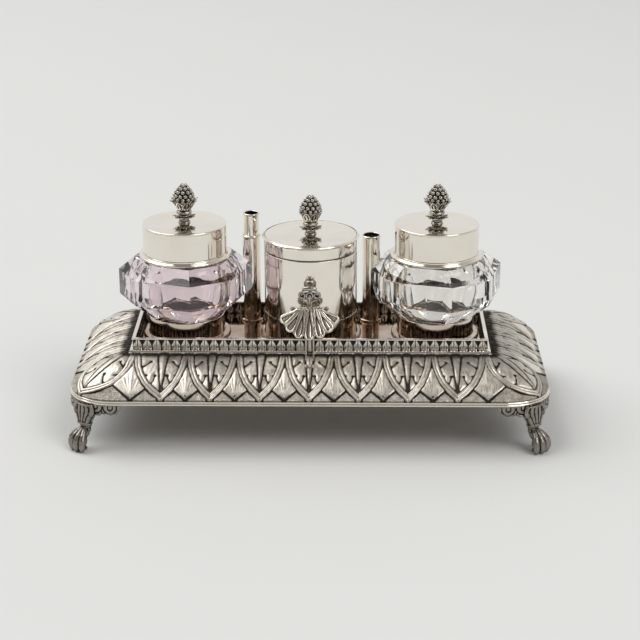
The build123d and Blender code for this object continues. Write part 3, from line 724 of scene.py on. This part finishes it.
def make_cap(side, sign):
    node = f"cap_{side}"
    radius, height = half_width(node), node_height(node)
    wall, edge = 0.8, 0.55
    groove = height - 0.95
    profile = [(radius - wall, 0.0), (radius - 0.25, 0.0), (radius, 0.25), (radius, groove - 0.3)]
    profile += [(radius - 0.3, groove - 0.15), (radius - 0.3, groove + 0.15), (radius, groove + 0.3)]
    profile += arc(radius - edge, height - edge, edge, 0, 84, 7)
    profile += [(radius * 0.8, height - 0.02), (radius * 0.45, height), (1.5, height)]
    profile += [(1.5, height - wall), (radius - wall, height - wall)]
    turned_piece(f"{node}_dressed", profile, sign * BOTTLE_X, f"cap_{side}_body", node)


def make_neck(side, sign):
    node = f"neck_mount_{side}"
    radius, height = half_width(node), node_height(node)
    bore, sleeve, skirt = 22.45, 23.1, 24.7
    profile = [(bore, 0.0), (radius - 0.7, 0.0)]
    profile += arc(radius - 0.8, 0.8, 0.8, -70, 90, 10)
    profile += arc(skirt + 0.7, 2.3, 0.7, -90, -180, 4)
    profile += [(skirt, 2.75), (sleeve, 2.8), (sleeve, height - 0.4), (sleeve - 0.4, height)]
    profile += [(18.0, height), (18.0, height - 0.6), (bore, height - 0.6)]
    turned_piece(f"{node}_dressed", profile, sign * BOTTLE_X, f"bottle_{side}", node)


for side, sign in (("left", -1), ("right", 1)):
    make_cap(side, sign)
    make_neck(side, sign)


def make_box():
    """The round box and its lid, with soft edges that leave a fine joint between them."""
    outer, mouth, soft = half_width("box_body"), node_height("box_body") - 0.7, 0.3
    profile = [(0.01, 0.0), (25.3, 0.0), (25.9, 0.4), (25.9, 15.4), (outer, 15.6)]
    profile += arc(outer - soft, mouth - soft, soft, 0, 90, 6)
    profile += [(outer - 1.0, mouth), (outer - 1.0, 3.0), (0.01, 1.4)]
    turned_piece("box_turned", profile, 0, "box", "box_body")
    height = node_height("box_lid")
    profile = [(outer - 0.8, 0.0)] + arc(outer - soft, soft, soft, -90, 0, 6)
    profile += [(outer, height - 1.75), (outer - 0.3, height - 1.6), (outer - 0.3, height - 0.4)]
    profile += arc(outer - 0.7, height - 0.4, 0.4, 0, 84, 6) + [(outer * 0.8, height - 0.02), (1.5, height)]
    profile += [(1.5, height - 0.8), (outer - 0.8, height - 0.8)]
    turned_piece("lid_turned", profile, 0, "lid", "box_lid")


make_box()


# --- glass bottles
def make_bottle(side, material):
    node = f"ink_bottle_{side}"
    piece = new_object(f"{node}_cut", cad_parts[node].data.copy())
    welded(piece)
    bevel = piece.modifiers.new("polished_edges", "BEVEL")
    bevel.width = 0.35 * MM
    bevel.segments = 3
    bevel.limit_method = "ANGLE"
    bevel.angle_limit = radians(14)
    bake_modifiers(piece)
    finish_piece(piece, f"bottle_{side}", material, (node,), sharp=20)


make_bottle("left", AMETHYST)
make_bottle("right", CLEAR)


# --- cast silver
def shifted_copy(piece, name, move=(0, 0, 0), flip=(1, 1)):
    """A copy of a finished mesh, mirrored in x or y and moved."""
    mesh = piece.data.copy()
    mesh.transform(Matrix.Translation(Vector(move) * MM) @ Matrix.Diagonal((*flip, 1, 1)))
    if flip[0] * flip[1] < 0:
        mesh.flip_normals()
    return new_object(name, mesh)


def cast_object(name, shells, voxel, depth, rounds, reach, floor):
    """Overlapping shells melted into one cast surface, with patina and painted shade in its hollows."""
    piece = mesh_object(name, *joined(shells))
    remesh = piece.modifiers.new("melt", "REMESH")
    remesh.mode = "VOXEL"
    remesh.voxel_size = voxel * MM
    soften = piece.modifiers.new("soften", "SMOOTH")
    soften.factor = 0.5
    soften.iterations = rounds
    bake_modifiers(piece)
    # darkens the hollows: patina, with painted shade where shade falls
    tarnish_and_shade_in_hollows(piece, depth, reach, floor)
    return piece


def heading_vector(degrees):
    return np.array([-cos(radians(degrees)), -sin(radians(degrees)), 0.0])


# feet: one is built at the front left and mirrored to the other corners
CORNER = np.array([-TRAY_X + TRAY_CORNER, -TRAY_Y + TRAY_CORNER, 0.0])
ANKLE_HEADING, PAW_HEADING, SHIELD_HEADING = 52.6, 41.0, 58.0
ANKLE = CORNER + 24.8 * heading_vector(ANKLE_HEADING)
KNEE = CORNER + 21.6 * heading_vector(ANKLE_HEADING)
TOES, TOE_SPREAD = 4, 25.0
TOE_BENDS = ((0.8, 13.0), (2.4, 12.2), (4.5, 10.8), (6.6, 8.8), (8.1, 6.5), (8.8, 4.5), (8.9, 2.8),
             (8.5, 1.4))
TOE_RADII = (0.9, 1.2, 1.5, 1.8, 1.95, 1.8, 1.75, 1.4)
WING_OUT, WING_RUN = 24.3, 24.6


def paw_shells():
    out = heading_vector(PAW_HEADING)
    shells = [ball(ANKLE + out * 4.0 + (0, 0, 5.0), (3.6, 3.6, 4.6), 16, 28)]
    shells.append(ball(ANKLE + out * 1.2 + (0, 0, 9.6), (2.9, 2.9, 3.6), 14, 24))
    pad = [(0.01, 0.0), (3.6, 0.0), (4.0, 0.4), (3.8, 1.0), (0.01, 1.4)]
    shells.append(lathe(pad, *(ANKLE + out * 4.6)[:2], 0.0, 64))
    for toe in range(TOES):
        heading = heading_vector(PAW_HEADING + TOE_SPREAD * (toe - (TOES - 1) / 2))
        toe_path = [ANKLE + reach * heading + (0, 0, z) for reach, z in TOE_BENDS]
        shells.append(limb(toe_path, TOE_RADII, 20))
    return shells


def leg_shells():
    """The leg that leans in from the cuff to the knee, with ribs down its back and sides."""
    shares = np.linspace(0, 1, 9)
    heights = 11.0 + (24.6 - 11.0) * shares
    radii = np.interp(shares, [0, 0.2, 0.45, 0.75, 1], [2.7, 2.75, 3.5, 4.9, 5.3])
    lean = ramp(0.2, 1.0, shares)[:, None]
    spine = ANKLE + (KNEE - ANKLE) * lean + heights[:, None] * np.array([0, 0, 1.0])
    shells = [limb(spine, radii, 40, 8)]
    for rib in range(12):
        turn = 2 * pi * rib / 12
        side = np.array([cos(turn), sin(turn), 0.0])
        path = spine[2:] + side * (radii[2:, None] - 0.25)
        shells.append(limb(path, np.linspace(0.5, 0.85, len(path)), 12))
    for ring, reach, radius in ((14.6, 3.15, 0.62), (13.2, 2.6, 0.5)):
        collar = [(reach + r, ring + h) for r, h in arc(0, 0, radius, 0, 330, 11)]
        shells.append(lathe(collar, ANKLE[0], ANKLE[1], 0.0, 48))
    return shells


def shield_shell():
    """The leaf shield over the knee: a raised scrolled edge round a sunk field of ribs."""
    out = heading_vector(SHIELD_HEADING)
    across = np.array([out[1], -out[0], 0.0])
    drop, side = np.meshgrid(np.linspace(0, 1, 64), np.linspace(-1, 1, 75), indexing="ij")
    stations = [0, 0.1, 0.25, 0.4, 0.5, 0.56, 0.7, 0.85, 0.93, 1]
    half = np.interp(drop, stations, [5.2, 5.9, 6.5, 6.6, 6.1, 5.0, 4.3, 3.5, 3.2, 3.3])
    edge = (1 - np.abs(side)) * half
    rim = line(edge - 0.6, 0.42)
    field = ramp(0.95, 1.5, edge) * ramp(0.04, 0.12, drop)
    field = field * (1 - ramp(0.86, 0.93, drop))
    ribs = np.abs(np.cos(side * 2.5 * pi)) ** 1.6
    curl = line(np.hypot((side - 0.62) * half, (drop - 0.42) * 12), 1.0)
    curl = curl + line(np.hypot((side + 0.62) * half, (drop - 0.42) * 12), 1.0)
    relief = 1.7 * (1 - side**2) + 0.75 * rim - field + field * (1.15 * ribs) + 0.5 * curl
    relief = relief + 0.4 * ramp(0.88, 0.94, drop)
    lean = ramp(0.0, 1.0, drop)[..., None]
    middle = KNEE + out * 4.0 + (ANKLE + out * 1.6 - KNEE - out * 4.0) * lean
    height = 27.2 - 11.9 * drop
    surface = middle + (side * half)[..., None] * across + relief[..., None] * out
    surface[..., 2] = height
    return slab(surface, 1.5)


def wing_shell(hand):
    """The scrolled wing under the rim, along the front for hand 1 and along the end for -1."""
    run, drop = np.meshgrid(np.linspace(0, WING_RUN, 140), np.linspace(0, 1, 44))
    along = run * 21.4 / WING_RUN
    stations = [0, 8, 11.6, 12.4, 16, 18.5, 20.4, 21.4]
    edge = np.interp(along, stations, [7.3, 7.1, 6.0, 5.2, 5.9, 5.4, 3.6, 2.4])
    edge = edge - 0.4 * np.abs(np.sin(along * pi / 2.7))
    fall = drop * edge
    first = np.hypot(along - 8.9, np.maximum(fall - 1.2, -0.4 * (fall - 1.2)) * 0.85)
    second = np.hypot(along - 16.2, np.maximum(fall - 1.4, -0.4 * (fall - 1.4)) * 0.85)
    nearer = np.where(along < 12.3, first, second)
    ridges = 0.9 * np.abs(np.cos(nearer * pi / 2.1)) * ramp(0.7, 1.4, nearer)
    boss = 0.9 * np.sqrt(np.clip(0.9 - nearer**2, 0, 2))
    crease = line(along - 12.3, 0.5)
    relief = ridges + boss - 0.6 * crease + 0.3 * ramp(0.85, 1.0, drop)
    reach = WING_OUT + relief * (1 - 0.5 * ramp(19.8, 21.4, along))
    bend_end = WING_OUT * pi / 4
    turn = radians(225) + hand * np.minimum(run, bend_end) / WING_OUT
    straight = np.maximum(run - bend_end, 0)
    x = CORNER[0] + reach * np.cos(turn) + straight * (hand > 0)
    y = CORNER[1] + reach * np.sin(turn) + straight * (hand < 0)
    return slab(np.stack([x, y, RIM_BOTTOM - 0.05 - fall], -1), 1.3)


def make_feet():
    shells = paw_shells() + leg_shells() + [shield_shell(), wing_shell(1), wing_shell(-1)]
    first = cast_object("foot_casting", shells, 0.2, 0.3, 2, 40, 0.1)
    low = (-TRAY_X, node_box("foot_front_left")[0][1], 0.0)
    clip_points(first, low, (0.0, 0.0, RIM_BOTTOM - 0.02))
    for row, flip_y in (("front", 1), ("back", -1)):
        for hand, flip_x in (("left", 1), ("right", -1)):
            foot = shifted_copy(first, f"paw_foot_{row}_{hand}", flip=(flip_x, flip_y))
            finish_piece(foot, "stand", CAST, (f"foot_{row}_{hand}",))
    bpy.data.objects.remove(first)


make_feet()


# finials and their leaf collars, built once at the origin with the plate at z = 0
FINIAL_TOP = 23.2
BERRY_RINGS = ((1.15, 21.9, 3), (2.75, 20.4, 7), (4.15, 18.5, 9), (5.15, 16.4, 11), (5.3, 14.4, 11))
BERRY_RADIUS = 1.2
BEADS = 16
CALYX_LEAVES = 8


def calyx_leaf(angle, flare):
    """One pointed leaf that stands up from the stem and turns out at its tip."""
    along, across = np.meshgrid(np.linspace(0, 1, 26), np.linspace(-1, 1, 17), indexing="ij")
    half = 2.0 * np.sin(np.clip(along * 0.93 + 0.12, 0, 1) * pi) ** 0.75 + 0.05
    reach = 3.3 + 2.0 * np.sin(along * pi * 0.6) + flare * along**2.2
    height = 8.0 + 6.9 * along - 0.9 * along**4
    edge = (1 - np.abs(across)) * half
    rib = 0.45 * line(across, 0.16) + 0.5 * line(edge - 0.3, 0.25)
    side = across * half
    reach = reach + rib - 0.1 * side**2
    return slab(np.stack([reach, side, height], -1) @ spin(angle), 0.62)


def finial_shells(flare):
    stem = [(0.01, -3.35), (1.38, -3.35), (1.38, 2.4), (2.9, 2.4), (3.0, 3.6), (3.5, 4.2), (3.3, 4.7)]
    stem += [(2.7, 5.1), (2.65, 5.4)] + arc(3.3, 6.4, 1.1, -75, 75, 8)
    stem += [(2.9, 7.55), (3.2, 7.9), (3.8, 8.3), (4.0, 10.5), (4.3, 14.0), (0.01, 14.6)]
    shells = [lathe(stem, segments=72), ball((0, 0, 16.0), (4.1, 4.1, 5.2), 18, 32)]
    for angle in np.linspace(0, 2 * pi, BEADS, endpoint=False):
        shells.append(ball((3.75 * cos(angle), 3.75 * sin(angle), 6.4), 0.78, 8, 12))
    for ring, (reach, height, count) in enumerate(BERRY_RINGS):
        for berry in range(count):
            angle = 2 * pi * (berry + 0.5 * (ring % 2)) / count - pi / 2
            shells.append(ball((reach * cos(angle), reach * sin(angle), height), BERRY_RADIUS, 12, 18))
    for leaf in range(CALYX_LEAVES):
        shells.append(calyx_leaf(2 * pi * (leaf + 0.5) / CALYX_LEAVES - pi / 2, flare))
        shells.append(calyx_leaf(2 * pi * leaf / CALYX_LEAVES - pi / 2, flare * 0.35))
    return shells


def collar_shells():
    """A star of pointed leaves under the stem, on a short round foot."""
    leaves = 9
    rho, theta = np.meshgrid(np.linspace(0, 1, 22), np.linspace(0, 2 * pi, 289), indexing="ij")
    petal = np.abs((theta * leaves / (2 * pi)) % 1 - 0.5) * 2
    outer = 4.4 + 2.35 * (1 - petal) ** 0.75
    reach = 2.0 + (outer - 2.0) * rho
    midrib = line(petal, 0.14)
    height = 4.15 - 0.5 * rho + 0.25 * rho**3 + 0.35 * midrib * rho - 0.75 * petal**2 * rho
    surface = np.stack([reach * np.cos(theta), reach * np.sin(theta), np.minimum(height, 4.1)], -1)
    foot = [(1.55, 0.03), (3.4, 0.03), (3.55, 0.5), (2.9, 1.3), (2.7, 2.4), (3.2, 3.6), (1.55, 3.6)]
    return [slab(surface, 0.6), lathe(foot, segments=64)]


def make_finials():
    cap_finial = cast_object("cap_finial_casting", finial_shells(2.6), 0.16, 0.2, 1, 36, 0.08)
    box_finial = cast_object("box_finial_casting", finial_shells(1.2), 0.16, 0.2, 1, 36, 0.08)
    collar = cast_object("collar_casting", collar_shells(), 0.15, 0.2, 2, 24, 0.08)
    for name, x in (("left", -BOTTLE_X), ("right", BOTTLE_X), ("box", 0.0)):
        node, body, casting = f"cap_finial_{name}", f"cap_{name}_body", cap_finial
        if name == "box":
            node, body, casting = "box_finial", "lid", box_finial
        plate = node_box(node)[1][2] - FINIAL_TOP
        finial = shifted_copy(casting, f"berry_finial_{name}", (x, 0, plate))
        finish_piece(finial, body, BERRY_SILVER, (node,))
        star = shifted_copy(collar, f"star_collar_{name}", (x, 0, plate))
        finish_piece(star, body, BERRY_SILVER, (f"leaf_collar_{name}",))
    for casting in (cap_finial, box_finial, collar):
        bpy.data.objects.remove(casting)


make_finials()


# --- handle, shell and rosette
BAR_Z = node_box("handle_strap")[1][2] - 2.0
BAR_Y = -(GALLERY_Y + 2.4 + 3.0)
SHELL_LEAN = radians(26.0)
SHELL_SPREAD, SHELL_LENGTH = 22.0, 17.75
SHELL_LOBES = ((0.0, 1.35, 2.85), (3.1, 1.15, 2.8), (5.1, 0.9, 2.7), (6.4, 0.8, 2.45))


def shell_place(x, down, out):
    """A point of the leaning shell: x across, down from the bar's axis and out of the plate."""
    y = BAR_Y - 0.26 - sin(SHELL_LEAN) * down - cos(SHELL_LEAN) * out
    z = BAR_Z - cos(SHELL_LEAN) * down + sin(SHELL_LEAN) * out
    return np.stack([x, y, z], -1)


def shell_lobe(place):
    """A spoon-shaped lobe with a thick raised edge round a sunk channel."""
    root, root_half, tip_half = SHELL_LOBES[abs(place)]
    hand = -1 if place < 0 else 1
    angle = radians(SHELL_SPREAD * place)
    start = np.array([hand * root, 0.5])
    tip = SHELL_LENGTH * np.array([sin(angle), cos(angle)])
    bend = start + (tip - start) * np.array([0.4, 0.55])
    t = np.sin(np.linspace(0, pi / 2, 90))[:, None]
    centre = (1 - t) ** 2 * start + 2 * t * (1 - t) * bend + t**2 * tip
    steps = np.gradient(centre, axis=0)
    pace = np.linalg.norm(steps, axis=1)
    steps /= pace[:, None]
    reach = np.concatenate([[0], np.cumsum((pace[1:] + pace[:-1]) / 2)])
    length = reach[-1]
    half = root_half + (tip_half - root_half) * ramp(0.0, 0.8, reach / length)
    end = np.clip((reach - (length - tip_half)) / tip_half, 0, 1)
    half = half * np.sqrt(np.maximum(1 - end**2, 0.0004))
    side = np.linspace(-1, 1, 39)[None, :] * half[:, None]
    edge = np.minimum(half[:, None] - np.abs(side), (length - reach)[:, None])
    rim = line(edge - 0.5, 0.36)
    sunk = ramp(0.75, 1.15, edge)
    swell = line(side, 0.75) * ramp(0.35, 0.6, reach / length)[:, None]
    out = 0.95 + 0.55 * rim - 0.35 * sunk + 0.25 * swell * sunk + 0.5 * (reach / length)[:, None] ** 4
    x = centre[:, :1] - side * steps[:, 1:]
    down = centre[:, 1:] + side * steps[:, :1]
    return slab(shell_place(x, down, out), 0.9)


def make_shell():
    shells = [shell_lobe(place) for place in range(-3, 4)]
    root = shell_place(np.linspace(-5.6, 5.6, 9), np.full(9, 1.0), np.full(9, 0.5))
    shells.append(limb(root, np.full(9, 0.75), 12))
    piece = cast_object("fan_shell", shells, 0.15, 0.16, 1, 26, 0.06)
    finish_piece(piece, "stand", SHELL_SILVER, ("shell_thumbpiece",))


def ring_limb(x, y, z, radius, start, end, thick, segments):
    """A limb bent to an arc of a ring that faces the front."""
    angles = np.radians(np.linspace(start, end, 25))
    path = [(x + radius * cos(a), y, z + radius * sin(a)) for a in angles]
    return limb(path, np.full(len(path), thick), segments)


def make_rosette():
    low, high = node_box("handle_rosette")
    middle = high[2] - 5.6
    shells = [ball((0, BAR_Y + 0.2, middle), (5.4, 0.55, 1.9), 12, 32)]
    shells.append(ring_limb(0, BAR_Y - 0.35, middle - 0.2, 1.75, 0, 360, 0.55, 10))
    shells.append(ball((0, BAR_Y - 0.4, middle - 0.2), (0.6, 0.5, 0.6)))
    for hand in (-1, 1):
        turns = np.linspace(0, 1, 34)
        angle = radians(90) - hand * radians(430) * turns
        swirl = 2.3 - 1.6 * turns
        curl = [(hand * 3.9 + r * cos(a), BAR_Y - 0.3, middle + r * sin(a)) for r, a in zip(swirl, angle)]
        shells.append(limb(curl, 0.62 - 0.12 * turns, 10))
        arm = ((4.4, 2.5), (2.6, 3.1), (0.9, 4.0))
        arm = [(hand * x, BAR_Y - 0.2, middle - drop) for x, drop in arm]
        shells.append(limb(arm, (0.6, 0.65, 0.7), 10))
        root = ((0.7, 0.5, 0.5), (0.75, 0.5, 2.0), (1.1, 0.4, 3.2))
        root = [(hand * x, BAR_Y - y, low[2] + z) for x, y, z in root]
        shells.append(limb(root, (0.55, 0.5, 0.5), 10))
    crest = [(x, BAR_Y, middle + 3.6 + 0.35 * cos(x / 4.2 * pi / 2)) for x in np.linspace(-3.0, 3.0, 15)]
    shells.append(limb(crest, 1.45 - 0.3 * np.abs(np.linspace(-1, 1, 15)) ** 2, 12))
    crest_line = [(x, y - 0.9, z - 0.75) for x, y, z in crest]
    shells.append(limb(crest_line, np.full(15, 0.4), 8))
    stem = [(0, BAR_Y, low[2] + 0.35 + t) for t in np.linspace(0, middle - low[2] - 1.5, 9)]
    shells.append(limb(stem, (1.6, 1.3, 1.05, 0.95, 0.95, 1.0, 1.1, 1.2, 1.2), 14))
    piece = cast_object("crested_rosette", shells, 0.13, 0.16, 1, 30, 0.04)
    clip_points(piece, (-np.inf, -np.inf, low[2]), np.inf)
    finish_piece(piece, "stand", CAST, ("handle_rosette",))


def make_handle():
    """The strap with raised edges, its curl, and the thin bar with scrolled ends."""
    back_y = -(MOULDING_Y + 0.75)
    low_z = LEDGE - 2.6
    bends = ((13.0, 0.4), (9.5, 1.0), (5.0, 2.5), (1.3, 3.7), (0.1, 5.0), (0.0, 8.0))
    path = [(back_y - y, low_z + z) for y, z in bends] + [(back_y, DECK + 9.0), (BAR_Y, BAR_Z)]
    path = np.array(path)
    run = np.concatenate([[0], np.cumsum(np.linalg.norm(np.diff(path, axis=0), axis=1))])
    along, across = np.meshgrid(np.linspace(0, run[-1], 150), np.linspace(-1, 1, 31), indexing="ij")
    y, z = np.interp(along, run, path[:, 0]), np.interp(along, run, path[:, 1])
    tilt = np.arctan2(np.gradient(z, axis=0), np.gradient(y, axis=0))
    relief = 0.5 * ramp(0.6, 0.8, np.abs(across)) - 0.1
    half = np.interp(along, [0, 3, run[-1] * 0.75, run[-1]], [1.9, 2.65, 2.65, 1.6])
    surface = np.stack([across * half, y - relief * np.sin(tilt), z + relief * np.cos(tilt)], -1)
    shells = [slab(surface, 1.1)]
    curl_y, curl_z = path[0]
    shells.append(limb([(-1.9, curl_y, curl_z + 1.0), (1.9, curl_y, curl_z + 1.0)], (1.15, 1.15), 20))
    shells.append(ball((0, curl_y - 0.7, curl_z + 1.4), 1.25))
    wave = np.linspace(-9.6, 9.6, 61)
    bar = np.stack([wave, np.full(61, BAR_Y), BAR_Z + 0.25 * np.cos(wave * 1.1) + 0.3], -1)
    shells.append(limb(bar, 0.8 + 0.14 * np.cos(wave * 3.2), 12))
    for hand in (-1, 1):
        start, end = 90 - hand * 70, 90 - hand * 400
        shells.append(ring_limb(hand * 9.4, BAR_Y - 0.2, BAR_Z + 0.1, 1.0, start, end, 0.5, 8))
        shells.append(ball((hand * 7.4, BAR_Y - 0.3, BAR_Z + 0.2), (0.9, 0.8, 0.9)))
    piece = cast_object("dressed_strap", shells, 0.17, 0.2, 1, 24, 0.2)
    finish_piece(piece, "stand", SHELL_SILVER, ("handle_strap",))


make_shell()
make_rosette()
make_handle()


# --- plain CAD nodes keep their shape
for node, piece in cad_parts.items():
    # the bezel gets the silver darkened as painted shade
    material = DECK_SILVER if node == "deck_plate" else BEZEL_SHADE if node == "box_bezel" else POLISHED
    if node in ("reeded_rim", "gallery_foot_moulding", "gallery_top_wire"):
        material = RIM_SILVER
    if node.startswith(("foot", "shell", "handle", "cap_finial", "box_finial", "leaf_collar")):
        material = CAST
    for slot in piece.material_slots:
        slot.material = material

# --- floor, light and camera
CAMERA_PLACE = (20.5, -989.2, 421.7)
CAMERA_YAW, CAMERA_PITCH, CAMERA_ROLL = -0.88, 20.38, -0.11
FOCAL_PIXELS, FRAME_PIXELS = 1800.0, 640.0
FLOOR_HALF = 6000.0
LAMP_COLOUR = (1.0, 0.985, 0.96)
LAMP_TARGET = Vector((0, 0, 0.05))
KEY_WATTS, FILL_WATTS = 86.0, 42.0
FLOOR_TONES = ((0.762, 0.777, 0.782), (0.775, 0.79, 0.795))
PALE_SWEEP, DIM_ROOM = (0.80, 0.80, 0.79), (0.17, 0.15, 0.13)


def make_camera():
    yaw, pitch, roll = (radians(a) for a in (CAMERA_YAW, CAMERA_PITCH, CAMERA_ROLL))
    ahead = Vector((sin(yaw) * cos(pitch), cos(yaw) * cos(pitch), -sin(pitch)))
    right = Vector((cos(yaw), -sin(yaw), 0))
    up = right.cross(ahead)
    tilted_right = cos(roll) * right + sin(roll) * up
    tilted_up = cos(roll) * up - sin(roll) * right
    data = bpy.data.cameras.new("camera")
    data.sensor_width = 36.0
    data.lens = data.sensor_width * FOCAL_PIXELS / FRAME_PIXELS
    data.clip_end = 50
    camera = new_object("camera", data)
    rotation = Matrix((tilted_right, tilted_up, -ahead)).transposed().to_4x4()
    camera.matrix_world = Matrix.Translation(Vector(CAMERA_PLACE) * MM) @ rotation
    bpy.context.scene.camera = camera


def area_light(name, place, size, watts):
    data = bpy.data.lights.new(name, "AREA")
    data.shape = "RECTANGLE"
    data.size, data.size_y = size
    data.energy = watts
    data.color = LAMP_COLOUR
    light = new_object(name, data)
    light.location = place
    light.rotation_euler = (LAMP_TARGET - Vector(place)).to_track_quat("-Z", "Y").to_euler()


def make_floor():
    corners = [(x * FLOOR_HALF, y * FLOOR_HALF, 0) for x, y in ((-1, -1), (1, -1), (1, 1), (-1, 1))]
    piece = mesh_object("floor", corners, [(0, 1, 2, 3)])
    material, tree, shader = node_material("pale_floor")
    tone = blended(tree, noise(tree, 8, 3), *FLOOR_TONES)
    tree.links.new(tone, shader.inputs["Base Color"])
    preset(shader, {"Roughness": 0.9})
    piece.data.materials.append(material)


def make_world():
    """Soft studio surroundings: a pale sweep behind and low down, a dimmer room overhead, in
    front and far to the sides."""
    world = bpy.data.worlds.new("studio")
    bpy.context.scene.world = world
    world.use_nodes = True
    tree = world.node_tree
    background = tree.nodes["Background"]
    where = add_node(tree, "TexCoord")
    split = add_node(tree, "SeparateXYZ")
    tree.links.new(where.outputs["Generated"], split.inputs["Vector"])
    front = mapped(tree, split.outputs["Y"], -0.6, 0.1, 1.0, 0.0)
    raised = mapped(tree, split.outputs["Z"], 0.02, 0.25, 0.0, 1.0)
    dark = combined(tree, "MULTIPLY", front, raised)
    overhead = mapped(tree, split.outputs["Z"], 0.45, 0.9, 0.0, 0.75)
    aside = combined(tree, "ABSOLUTE", split.outputs["X"], 0.0)
    above = mapped(tree, split.outputs["Z"], 0.0, 0.08, 0.0, 1.0)
    sides = combined(tree, "MULTIPLY", mapped(tree, aside, 0.8, 0.93, 0.0, 0.9), above)
    shade = combined(tree, "MAXIMUM", combined(tree, "MAXIMUM", dark, overhead), sides)
    colour = blended(tree, shade, PALE_SWEEP, DIM_ROOM)
    tree.links.new(colour, background.inputs["Color"])


make_camera()
make_floor()
make_world()
area_light("key", (-2.1, 0.9, 3.3), (3.4, 3.0), KEY_WATTS)
area_light("fill", (1.9, -1.6, 2.6), (2.0, 2.0), FILL_WATTS)

scene = bpy.context.scene
scene.view_settings.view_transform = "Standard"
